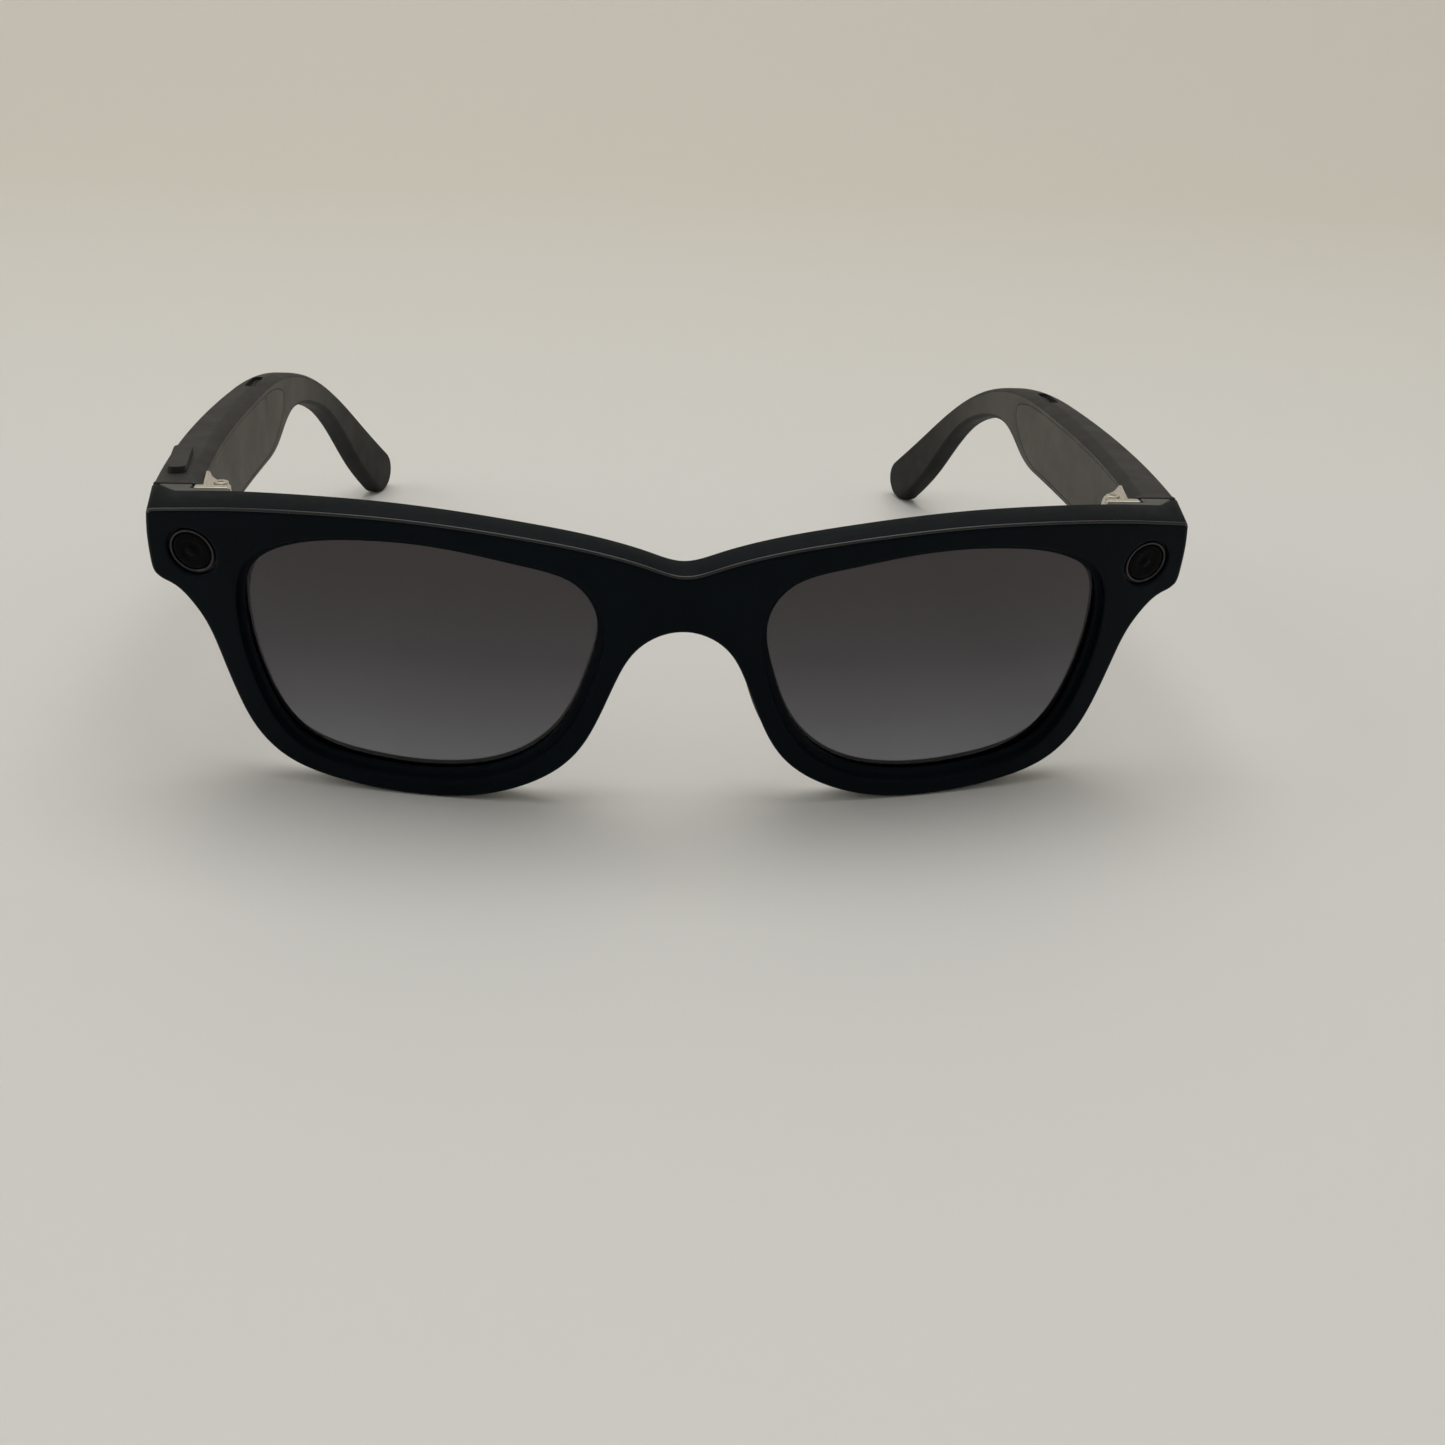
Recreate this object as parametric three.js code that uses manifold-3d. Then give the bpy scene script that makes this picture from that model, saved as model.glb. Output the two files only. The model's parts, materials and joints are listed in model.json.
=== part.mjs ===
// Smart glasses: a square-rimmed sunglass front with a camera, a capture light and two hollow
// temples that hold the electronics. Millimetres, +Z up. The wearer looks along -Y, the wearer's
// left is +X. The glasses stand open on their rims and temple tips, on z = 0.
import * as THREE from 'three';
import { mergeVertices } from 'three/addons/utils/BufferGeometryUtils.js';
import Module from 'manifold-3d';

const wasm = await Module();
wasm.setup();

// ---------- driving dimensions ----------
const GAP = 0.35;               // space between two pieces that sit together
const REST_PITCH = 2.13;        // degrees the whole thing leans back, standing on its temple tips

const FRONT_TILT = 8.28;        // degrees between the front and the vertical
const FACE_RADIUS = 204.4;      // wrap of the front, seen from above
const END_X = 74.3;             // half width of the front at its top corners
const BRIDGE_DEPTH = 5.1;       // front to back at the bridge
const END_DEPTH = 6.2;          // front to back at the endpieces
const END_WRAP = 2.7;           // the outermost skin reaches this much further back
const BUTT = 22.7;              // rear plane of the endpiece blocks

const LIP_STEP = 1.0;           // the lens opening is this much wider in front of its lip
const LIP_DEPTH = 1.3;          // depth of that wider part
const LENS_DEPTH = 2.3;         // lens front surface, behind the face
const LENS_THICKNESS = 1.8;
const LENS_GRIP = 1.0;          // how far the lens reaches into its groove

const WINDOW = { x: 68.4, z: 35.85, hole: 3.6, ring: 3.3, glass: 2.75 };

const ROOT = { x: 75.2, y: 14.85, z: 43.98 };       // top outer front corner of the left temple
const TEMPLE_START = 2.1;       // its front end meets the endpiece block here
const TEMPLE_STRAIGHT = 60.7;   // straight top edge in front of the bend
const TEMPLE_DROP = 37.7;       // degrees the tip hangs down
const TEMPLE_HEIGHT = 13.5;
const TEMPLE_THICKNESS = [[0, 6.6], [40, 6.1], [60, 5.6], [84, 4.3], [110, 3.8], [142, 3.5]];
const TIP_RADIUS = 4.5;
const SHELL_WALL = 1.5;
const COVER = 1.3;              // thickness of the temple's inner cover

const HINGE = { x: 66.2, y: 18.7, barrel: 1.3, pin: 0.6, bore: 0.92 };

const COLOURS = {
  nylon: [0x16181b, 0.5, 0], temple: [0x2b2b2a, 0.6, 0], cover: [0x383633, 0.65, 0],
  block: [0x3a3b3b, 0.45, 0], lens: [0x2a272c, 0.05, 0], glass: [0x050506, 0.03, 0],
  ring: [0x1d1f22, 0.25, 0.6], champagne: [0xc4bda8, 0.3, 1], gold: [0xc9a24b, 0.3, 1],
  copper: [0xa8622a, 0.5, 0.3], foil: [0xa9acb0, 0.4, 0.8], board: [0x14402c, 0.6, 0],
  black: [0x0d0d0e, 0.55, 0], button: [0x45403d, 0.55, 0],
};

// ---------- solids ----------
function solidOf(geometry) {
  geometry.deleteAttribute('normal');
  geometry.deleteAttribute('uv');
  const merged = mergeVertices(geometry, 1e-4);
  return new wasm.Manifold(new wasm.Mesh({
    numProp: 3,
    vertProperties: new Float32Array(merged.attributes.position.array),
    triVerts: new Uint32Array(merged.index.array),
  }));
}

function geometryOf(solid) {
  const mesh = solid.getMesh();
  const geometry = new THREE.BufferGeometry();
  geometry.setAttribute('position', new THREE.BufferAttribute(mesh.vertProperties, 3));
  geometry.setIndex(new THREE.BufferAttribute(mesh.triVerts, 1));
  return geometry;
}

function mirrored(geometry) {
  const copy = geometry.clone().scale(-1, 1, 1);
  const index = copy.index.array;
  for (let i = 0; i < index.length; i += 3) [index[i], index[i + 1]] = [index[i + 1], index[i]];
  return copy;
}

function add(group, name, solid, look, mirror = false) {
  const [color, roughness, metalness] = COLOURS[look];
  const geometry = mirror ? mirrored(geometryOf(solid)) : geometryOf(solid);
  const mesh = new THREE.Mesh(geometry, new THREE.MeshStandardMaterial({ color, roughness, metalness }));
  mesh.name = name;
  group.add(mesh);
}

// Prisms of a closed outline along each axis. The outline's pairs are (x, y), (x, z) or (y, z).
const shapeOf = (points) => new THREE.Shape(points.map(([a, b]) => new THREE.Vector2(a, b)));
const prism = (points, depth) => new THREE.ExtrudeGeometry(shapeOf(points), { depth, bevelEnabled: false });

const alongZ = (points, z0, z1) => solidOf(prism(points, z1 - z0).translate(0, 0, z0));
const alongY = (points, y0, y1) => solidOf(prism(points, y1 - y0).rotateX(Math.PI / 2).translate(0, y1, 0));
function alongX(points, x0, x1) {
  const turn = new THREE.Matrix4().makeBasis(
    new THREE.Vector3(0, 1, 0), new THREE.Vector3(0, 0, 1), new THREE.Vector3(1, 0, 0));
  return solidOf(prism(points, x1 - x0).applyMatrix4(turn).translate(x0, 0, 0));
}

const boxGeometry = ([x0, x1], [y0, y1], [z0, z1]) =>
  new THREE.BoxGeometry(x1 - x0, y1 - y0, z1 - z0)
    .translate((x0 + x1) / 2, (y0 + y1) / 2, (z0 + z1) / 2);
const box = (x, y, z) => solidOf(boxGeometry(x, y, z));
const rectangle = (a0, a1, b0, b1) => [[a0, b0], [a1, b0], [a1, b1], [a0, b1]];

function slot(centreA, centreB, length, width, steps = 8) {
  const points = [];
  for (const side of [1, -1]) {
    for (let i = 0; i <= steps; i++) {
      const turn = Math.PI / 2 * (2 * i / steps - side);
      const reach = side * (length - width) / 2;
      points.push([centreA + reach + width / 2 * Math.cos(turn), centreB + width / 2 * Math.sin(turn)]);
    }
  }
  return points;
}

const slotAlongY = (x, y, length, width, steps) =>
  anticlockwise(slot(y, x, length, width, steps).map(([b, a]) => [a, b]));

// Smooth line through points; a closed one ends where it starts.
function smooth(points, steps, closed = false) {
  const curve = new THREE.CatmullRomCurve3(points.map(([a, b]) => new THREE.Vector3(a, b, 0)), closed);
  const line = curve.getPoints(steps).map((p) => [p.x, p.y]);
  return closed ? line.slice(0, -1) : line;
}

// Moves every point of a closed anticlockwise outline outwards by a distance.
function outset(points, distance) {
  const count = points.length;
  return points.map(([a, b], i) => {
    const before = points[(i + count - 1) % count];
    const after = points[(i + 1) % count];
    const normal = new THREE.Vector2(after[1] - before[1], before[0] - after[0]).normalize();
    return [a + normal.x * distance, b + normal.y * distance];
  });
}

const anticlockwise = (points) => (THREE.ShapeUtils.isClockWise(shapeOf(points).getPoints())
  ? points.toReversed() : points);

// ---------- the front, drawn upright: x across, y back from the bridge's face, z up ----------
const faceY = (x) => x * x / (2 * FACE_RADIUS);
const frontDepth = (x) => BRIDGE_DEPTH + (END_DEPTH - BRIDGE_DEPTH) * (x / END_X) ** 2
  + END_WRAP * THREE.MathUtils.smoothstep(Math.abs(x), 71, END_X + 0.5);

// Stations across the front, closer together where the ends wrap back.
const HALF_ACROSS = [6, 12, 18, 24, 30, 36, 42, 48, 54, 60, 64, 68, 70, 71, 72, 73, 74, 75, 78];
const ACROSS = [...HALF_ACROSS.map((x) => -x).toReversed(), 0, ...HALF_ACROSS];

// The curved sheet between two depths behind the face, each a number or a function of x.
function sheet(near, far, x0 = -78, x1 = 78) {
  const depthAt = (depth, x) => faceY(x) + (typeof depth === 'function' ? depth(x) : depth);
  const across = ACROSS.filter((x) => x >= x0 && x <= x1);
  const outline = [
    ...across.map((x) => [x, depthAt(near, x)]),
    ...across.toReversed().map((x) => [x, depthAt(far, x)]),
  ];
  return alongZ(outline, -4, 50);
}

const BROW = [[0, 38.75], [5, 40.1], [13, 42.3], [21, 43.6], [30, 44.55], [40, 45], [50, 44.7],
  [63, 43.3], [END_X, 41.25]];
const END_SIDE = [[74.75, 37.8], [74.8, 34], [74.4, 31.4]];
const UNDERSIDE = [[73.8, 30.7], [71.5, 29.8], [69.5, 27.8], [67.6, 24.6], [66, 19.5], [64.4, 13.8],
  [62, 8], [57.8, 3.6], [51, 1.15], [41, 0], [31, 0.45], [24.6, 2.2], [18.7, 5.4], [14.6, 9.6],
  [11.6, 15.5], [9.3, 21.5], [6.6, 26.6], [3.2, 29.2], [0, 29.9]];
const LENS_LIP = [[12.1, 31.5], [15.2, 36.4], [22.3, 38.75], [34, 40.6], [45, 40.5], [54.5, 38.5],
  [60, 34.6], [61.7, 27.5], [60.1, 16.2], [55, 7.2], [45, 4.15], [35, 3.95], [24.5, 6.6],
  [17.3, 13], [13.3, 22.5]];

const flipX = ([x, z]) => [-x, z];
const bothSides = (half) => [...half.slice(1).map(flipX).toReversed(), ...half];

function frontOutline() {
  const brow = smooth(bothSides(BROW), 56);
  const under = smooth(bothSides(UNDERSIDE.toReversed()), 96).toReversed();
  return anticlockwise([...brow, ...END_SIDE, ...under, ...END_SIDE.map(flipX).toReversed()]);
}

const outline = frontOutline();
const lip = anticlockwise(smooth(LENS_LIP, 48, true));
const through = (points) => alongY(anticlockwise(points), -3, 32);

// Turns pieces drawn about the upright hinge line into the front's own tilted frame.
const front = new THREE.Group();
front.rotation.x = THREE.MathUtils.degToRad(FRONT_TILT);
front.updateMatrix();
const intoFront = (geometry) => geometry.applyMatrix4(front.matrix.clone().invert());

const cylinderZ = (x, y, radius, z0, z1, sides = 20) =>
  new THREE.CylinderGeometry(radius, radius, z1 - z0, sides)
    .rotateX(Math.PI / 2).translate(x, y, (z0 + z1) / 2);
const cylinderY = (x, z, radius, y0, y1, sides = 28) =>
  solidOf(new THREE.CylinderGeometry(radius, radius, y1 - y0, sides).translate(x, (y0 + y1) / 2, z));

// The integral nose pad: a soft ridge along the rim's inner edge, standing back from it.
function nosePad() {
  const ridge = [[-1.7, -2], [1.9, -2], [1.6, 1.4], [0.5, 3], [-0.7, 3.4], [-1.5, 2.6]];
  const geometry = prism(ridge, 17).rotateY(THREE.MathUtils.degToRad(-22))
    .translate(15, BRIDGE_DEPTH, 8);
  return solidOf(geometry);
}

// Hole for the round window, then the room behind it for its module.
function windowRoom() {
  const face = faceY(WINDOW.x);
  const hole = cylinderY(WINDOW.x, WINDOW.z, WINDOW.hole, face - 3, face + 5.2);
  const doorway = box([69, 72.4], [face + 4, face + 12], [33, 39]);
  return hole.add(doorway);
}

// The flexible circuit's channel follows the brow, a little below it.
const FLEX_DROP = 1.9;
const FLEX_END = [[66.3, 40.3], [67.6, 38.6]];
function browRibbon(halfHeight, near, far, ending) {
  const half = [...BROW.slice(0, -2).map(([x, z]) => [x, z - FLEX_DROP]), [62, 41.7], ...ending];
  const line = smooth(bothSides(half), 44);
  const edge = (offset) => line.map(([x, z], i) => {
    const [ax, az] = line[Math.max(i - 1, 0)];
    const [bx, bz] = line[Math.min(i + 1, line.length - 1)];
    const normal = new THREE.Vector2(az - bz, bx - ax).normalize();
    return [x + normal.x * offset, z + normal.y * offset];
  });
  const band = [...edge(-halfHeight), ...edge(halfHeight).toReversed()];
  return through(band).intersect(sheet(near, far));
}

const PAD_X = 3.4;
const PAD_Z = 33.6;
const padPocket = (x, halfX, halfZ, depth) =>
  box([x - halfX, x + halfX], [BRIDGE_DEPTH - depth, BRIDGE_DEPTH + 3], [PAD_Z - halfZ, PAD_Z + halfZ]);

function frontFrame() {
  let half = through(lip)
    .add(through(outset(lip, LIP_STEP)).intersect(sheet(-3, LIP_DEPTH)))
    .add(through(outset(lip, LENS_GRIP + GAP))
      .intersect(sheet(LENS_DEPTH - GAP, LENS_DEPTH + LENS_THICKNESS + GAP)))
    .add(windowRoom());
  const cuts = half.add(solidOf(mirrored(geometryOf(half))));
  const pad = nosePad();
  return through(outline).intersect(sheet(0, frontDepth))
    .add(pad).add(solidOf(mirrored(geometryOf(pad))))
    .subtract(cuts)
    .subtract(browRibbon(0.6, 1.9, 4.6, FLEX_END))
    .subtract(padPocket(PAD_X, 1.75, 1.35, 0.9))
    .subtract(padPocket(-PAD_X, 1.75, 1.35, 0.9))
    .subtract(padPocket(0, 1.3, 1.1, 1.8));
}

const lens = () => through(outset(lip, LENS_GRIP))
  .intersect(sheet(LENS_DEPTH, LENS_DEPTH + LENS_THICKNESS));

// Round window: a cover glass inside a thin ring, and the module that looks out through it.
function windowPieces() {
  const { x, z, ring, glass } = WINDOW;
  const face = faceY(x);
  const flush = sheet(0.3, 1.6, 60, 78);
  return {
    glass: cylinderY(x, z, glass, face - 3, face + 4).intersect(sheet(0.45, 1.5, 60, 78)),
    trim: cylinderY(x, z, ring, face - 3, face + 4).intersect(flush)
      .subtract(cylinderY(x, z, glass + 0.2, face - 4, face + 5)),
  };
}

function cameraModule() {
  const { x, z } = WINDOW;
  const face = faceY(x);
  return cylinderY(x, z, 2.3, face + 2.7, face + 3.8)
    .add(box([x - 2.2, x + 2.2], [face + 3.7, face + 4.8], [z - 2.2, z + 2.2]));
}

function ledModule() {
  const { x, z } = WINDOW;
  const face = faceY(x);
  return cylinderY(x, z, 1.4, face + 2.5, face + 3.6, 16)
    .add(box([x - 2, x + 2], [face + 3.5, face + 4.5], [z - 2.2, z + 2.2]));
}

// The wedge behind each endpiece closes the electronics room and carries the hinge.
const BLOCK_TOP = 43.9;
const KNUCKLES = { top: [40.95, 43.1], middle: [36.65, 40.6], bottom: [34.2, 36.3] };
const FLANGE = { x: [64.6, 69.4], y: [15.0, 16.5], z: [38.5, BLOCK_TOP] };
const ARM = { x: [65.4, 67], y: [15.0, HINGE.y], z: [34.2, 43.1] };

const grown = ([low, high], amount) => [low - amount, high + amount];
const notch = ({ x, y, z }) => boxGeometry(grown(x, GAP), [y[0] - GAP, 26], [z[0] - GAP, 48]);

function endpieceBlock() {
  const inside = sheet((x) => frontDepth(x) + GAP, (x) => BUTT - faceY(x), 64, 74);
  const heights = box([60, 78], [0, 40], [31.4, 46]);
  const clearance = cylinderZ(HINGE.x, HINGE.y, HINGE.barrel + 0.4, 33.6, 48);
  const above = boxGeometry([60, 80], [0, 30], [BLOCK_TOP + 0.05, 60]);
  return inside.intersect(through(outset(outline, -0.35))).intersect(heights)
    .subtract(solidOf(intoFront(above)))
    .subtract(solidOf(intoFront(notch(FLANGE))))
    .subtract(solidOf(intoFront(notch(ARM))))
    .subtract(solidOf(intoFront(clearance)));
}

function hingeLeafFront() {
  const bore = solidOf(cylinderZ(HINGE.x, HINGE.y, HINGE.bore, 30, 46));
  const gap = box([HINGE.x - 3, HINGE.x + 3], [HINGE.y - 1.9, HINGE.y + 3],
    grown(KNUCKLES.middle, GAP));
  let leaf = box(FLANGE.x, FLANGE.y, FLANGE.z).add(box(ARM.x, ARM.y, ARM.z));
  for (const [low, high] of [KNUCKLES.top, KNUCKLES.bottom]) {
    leaf = leaf.add(solidOf(cylinderZ(HINGE.x, HINGE.y, HINGE.barrel, low, high)));
  }
  return leaf.subtract(gap).subtract(bore);
}

const hingePin = () => solidOf(cylinderZ(HINGE.x, HINGE.y, HINGE.pin, 33.8, 43.5, 14))
  .add(solidOf(cylinderZ(HINGE.x, HINGE.y, 1.05, 43.4, 43.8, 16)));

// ---------- the temples, drawn for the left one from its top outer front corner ----------
const drop = THREE.MathUtils.degToRad(TEMPLE_DROP);
const BEND_END = [117.9, -19.3];
const along = ([y, z], length) => [y + length * Math.cos(drop), z - length * Math.sin(drop)];
const below = ([y, z], height) => [y - height * Math.sin(drop), z - height * Math.cos(drop)];

const UNDER_BEND = [[117.9, -29.6], [109.9, -20.9], [102.2, -14.3], [95, -10.9], [88, -9.1],
  [82.5, -8.8], [77, -10.1], [71.5, -12.2], [66, -TEMPLE_HEIGHT]];

function templeOutline() {
  const bend = new THREE.CubicBezierCurve(
    new THREE.Vector2(TEMPLE_STRAIGHT, 0), new THREE.Vector2(TEMPLE_STRAIGHT + 28, 0),
    new THREE.Vector2(...along(BEND_END, -21)), new THREE.Vector2(...BEND_END));
  const tipCentre = below(along(BEND_END, 17.9), TIP_RADIUS);
  const tip = Array.from({ length: 9 }, (_, i) => {
    const turn = Math.PI / 2 - drop - Math.PI * i / 8;
    return [tipCentre[0] + TIP_RADIUS * Math.cos(turn), tipCentre[1] + TIP_RADIUS * Math.sin(turn)];
  });
  const underTip = smooth([tip.at(-1), ...UNDER_BEND], 22);
  return anticlockwise([[TEMPLE_START, 0], ...bend.getPoints(12).map((p) => [p.x, p.y]), ...tip,
    ...underTip.slice(1), [30, -TEMPLE_HEIGHT], [15, -12.8], [TEMPLE_START + 1.63, -11.2]]);
}

const outerX = (y) => 0.11 * y - 16.5 * (y / 100) ** 2;

// Straight lines between listed pairs.
function between(pairs, at) {
  const next = Math.min(Math.max(pairs.findIndex(([a]) => a > at), 1), pairs.length - 1);
  const end = at > pairs.at(-1)[0] ? pairs.length - 1 : next;
  const [[a0, b0], [a1, b1]] = [pairs[end - 1], pairs[end]];
  return b0 + (b1 - b0) * (at - a0) / (a1 - a0);
}
const thickness = (y) => between(TEMPLE_THICKNESS, y);

// What lies between two depths under the temple's outer face, within a side outline.
function templeLayer(points, near, far, y0 = -2, y1 = 142) {
  const depthAt = (depth, y) => (typeof depth === 'function' ? depth(y) : depth);
  const count = Math.max(2, Math.round((y1 - y0) / 8));
  const steps = Array.from({ length: count + 1 }, (_, i) => y0 + (y1 - y0) * i / count);
  const plan = [
    ...steps.map((y) => [outerX(y) - depthAt(near, y), y]),
    ...steps.toReversed().map((y) => [outerX(y) - depthAt(far, y), y]),
  ];
  return alongZ(anticlockwise(plan), -60, 10).intersect(alongX(anticlockwise(points), -40, 20));
}

const coverInner = (y) => thickness(y);
const coverOuter = (y) => thickness(y) - COVER;
const COVER_OUTLINE = [[9, -1.2], [60, -1.2], [70, -1.7], [75.5, -3.4], [75.5, -6.4], [71, -9.7],
  [65, -12.2], [30, -12.2], [15, -11.5], [9, -10.7]];
const ROOM = [[11, -2.4], [60, -2.4], [68.5, -2.8], [73, -4.4], [73, -6], [69, -8.8], [64, -10.9],
  [30, -10.9], [15, -10.2], [11, -9.6]];
const GRILLE = { y: 68, length: 9, width: 1.5, inward: 2.05 };
const grilleX = () => outerX(GRILLE.y) - GRILLE.inward;

function templeShell() {
  const room = templeLayer(ROOM, SHELL_WALL, coverOuter);
  const coverSeat = templeLayer(outset(anticlockwise(COVER_OUTLINE), GAP), (y) => coverOuter(y) - GAP, 9);
  const wireway = templeLayer(rectangle(1, 13, -8, -4.6), 3.2, 5, -2, 14);
  const opening = slotAlongY(grilleX(), GRILLE.y, GRILLE.length + 2 * GAP, GRILLE.width + 2 * GAP, 5);
  const grilleSlot = alongZ(opening, -2.9, 4);
  return templeLayer(templeOutline(), 0, thickness)
    .subtract(room).subtract(coverSeat).subtract(wireway).subtract(grilleSlot);
}

const SWITCH = { y: 20, z: -9.0, travel: 2 };
const BUTTON = { y: 13, length: 12, width: 2.6, inward: 2.45, depth: 3, travel: 0.4 };
const buttonX = () => outerX(BUTTON.y) - BUTTON.inward;

function templeCover(withSwitch) {
  const plate = templeLayer(COVER_OUTLINE, coverOuter, coverInner);
  const hole = slot(SWITCH.y + SWITCH.travel / 2, SWITCH.z, 6.4, 2.6, 5);
  return withSwitch ? plate.subtract(templeLayer(hole, 3, 9, 10, 30)) : plate;
}

// The leaf lies on the temple's inner face; its knuckle turns between the front leaf's two.
const LEAF_OUTLINE = [[3.2, -1.3], [9.8, -1.1], [16.2, -4.4], [16.6, -8.6], [13, -10], [4.7, -9.4]];
const LEAF_THICKNESS = 1.25;

function hingeLeafTemple() {
  const low = KNUCKLES.middle[0] - ROOT.z;
  const high = KNUCKLES.middle[1] - ROOT.z;
  const x = HINGE.x - ROOT.x;
  const y = HINGE.y - ROOT.y;
  const plate = templeLayer(LEAF_OUTLINE, (at) => thickness(at) + 0.3,
    (at) => thickness(at) + 0.3 + LEAF_THICKNESS);
  const arm = box([x, x + 1.6], [y, y + 1.5], [low, high]);
  const room = cylinderZ(x, y, HINGE.barrel + 0.35, high + GAP - 12, high + GAP + 12);
  const middle = box([x - 5, x + 5], [y - 5, y + 5], [low, high]);
  const knuckle = solidOf(cylinderZ(x, y, HINGE.barrel, low, high));
  return plate.subtract(solidOf(room).subtract(middle)).add(arm).add(knuckle)
    .subtract(solidOf(cylinderZ(x, y, HINGE.bore, -14, 2)));
}

// The grille sits in the temple's top edge above the speaker.
function speakerGrille() {
  const x = grilleX();
  let plate = alongZ(slotAlongY(x, GRILLE.y, GRILLE.length, GRILLE.width, 5), -2.0, -1.0);
  for (let i = -2; i <= 2; i++) {
    const hole = slot(x, GRILLE.y + i * 1.6, 0.9, 0.7, 3);
    plate = plate.subtract(alongZ(hole, -3, 1));
  }
  return plate;
}

const speaker = () => templeLayer(rectangle(50, 62, -10.2, -3.2), 1.9, 3.8, 46, 66);
const microphone = () => templeLayer(rectangle(31, 33.6, -10.7, -9.3), 2, 3.1, 29, 36);
const templeFlex = () => templeLayer(rectangle(8, 14, -7.7, -5.2), 3.9, 4.3, 6, 16);

const capsule = () => alongZ(slotAlongY(0, 0, BUTTON.length, BUTTON.width, 6), 0, BUTTON.depth);
const buttonHole = () => alongZ(
  slotAlongY(buttonX(), BUTTON.y, BUTTON.length + 2 * GAP, BUTTON.width + 2 * GAP, 6), -4, 2);

// ---------- assembly ----------
const glasses = new THREE.Group();
glasses.add(front);

add(front, 'front_frame', frontFrame(), 'nylon');
const windows = windowPieces();
const sides = [{ side: 'left', mirror: false }, { side: 'right', mirror: true }];
for (const { side, mirror } of sides) {
  add(front, `lens_${side}`, lens(), 'lens', mirror);
  add(front, `${mirror ? 'led' : 'camera'}_window`, windows.glass, 'glass', mirror);
  add(front, `${mirror ? 'led' : 'camera'}_trim`, windows.trim, 'ring', mirror);
  add(front, `${mirror ? 'led' : 'camera'}_module`, mirror ? ledModule() : cameraModule(), 'black', mirror);
  add(front, `endpiece_block_${side}`, endpieceBlock(), 'block', mirror);
  const pad = box([PAD_X - 1.4, PAD_X + 1.4], [BRIDGE_DEPTH - 0.5, BRIDGE_DEPTH + 0.1],
    [PAD_Z - 1, PAD_Z + 1]);
  add(front, `charge_contact_${side}`, pad, 'gold', mirror);
}
add(front, 'front_flex', browRibbon(0.25, 2.25, 4.25, [[65.2, 41]]), 'copper');
add(front, 'bridge_microphone',
  box([-0.95, 0.95], [BRIDGE_DEPTH - 1.4, BRIDGE_DEPTH - 0.2], [PAD_Z - 0.75, PAD_Z + 0.75]), 'foil');

const hinges = new THREE.Group();
glasses.add(hinges);
for (const { side, mirror } of sides) {
  add(hinges, `hinge_leaf_front_${side}`, hingeLeafFront(), 'champagne', mirror);
  add(hinges, `hinge_pin_${side}`, hingePin(), 'champagne', mirror);
}

function temple(side, mirror) {
  const group = new THREE.Group();
  group.position.set(mirror ? -ROOT.x : ROOT.x, ROOT.y, ROOT.z);
  glasses.add(group);
  const shell = mirror ? templeShell().subtract(buttonHole()) : templeShell();
  add(group, `temple_shell_${side}`, shell, 'temple', mirror);
  add(group, `temple_cover_${side}`, templeCover(!mirror), 'cover', mirror);
  add(group, `hinge_leaf_temple_${side}`, hingeLeafTemple(), 'champagne', mirror);
  add(group, `speaker_${side}`, speaker(), 'black', mirror);
  add(group, `speaker_grille_${side}`, speakerGrille(), 'black', mirror);
  add(group, `temple_microphone_${side}`, microphone(), 'foil', mirror);
  add(group, `temple_flex_${side}`, templeFlex(), 'copper', mirror);
  return group;
}

const left = temple('left', false);
add(left, 'battery', templeLayer(rectangle(35, 48.5, -10.5, -3), 1.9, 4.2, 30, 52), 'foil');
add(left, 'switch_board', templeLayer(rectangle(15.5, 29.5, -10.0, -4.2), 2.6, 3.4, 12, 34), 'board');
const knob = templeLayer(slot(SWITCH.y, SWITCH.z, 3.6, 1.9, 5), 3.9, 7.2, 14, 26);
add(left, 'power_switch', knob, 'button');

const right = temple('right', true);
add(right, 'touch_sensor', templeLayer(rectangle(13, 45, -8.9, -3.2), 1.85, 2.2, 8, 50), 'copper', true);
add(right, 'main_board', templeLayer(rectangle(23, 47.5, -10.5, -3), 3.3, 4.1, 20, 50), 'board', true);
add(right, 'processor', templeLayer(rectangle(34.8, 44, -9.8, -4), 2.55, 3.0, 32, 46), 'foil', true);
add(right, 'tact_switch', templeLayer(rectangle(14.4, 18.8, -6.6, -4.4), 2.6, 4.2, 12, 22), 'black', true);

const button = new THREE.Group();
button.position.set(-buttonX(), BUTTON.y, 0.4 - BUTTON.depth);
right.add(button);
add(button, 'capture_button', capsule(), 'button');

// Lean the glasses back onto their temple tips, then put the origin under their middle.
glasses.rotation.x = THREE.MathUtils.degToRad(-REST_PITCH);
const extent = new THREE.Box3().setFromObject(glasses, true);
const middle = extent.getCenter(new THREE.Vector3());
glasses.position.set(0, -middle.y, -extent.min.z);

export default glasses;
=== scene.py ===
"""Looks for the smart glasses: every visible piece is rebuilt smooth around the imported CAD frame."""
import json
import math

import bmesh
import bpy
import numpy as np
from mathutils import Matrix, Vector
from mathutils.geometry import delaunay_2d_cdt


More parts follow.
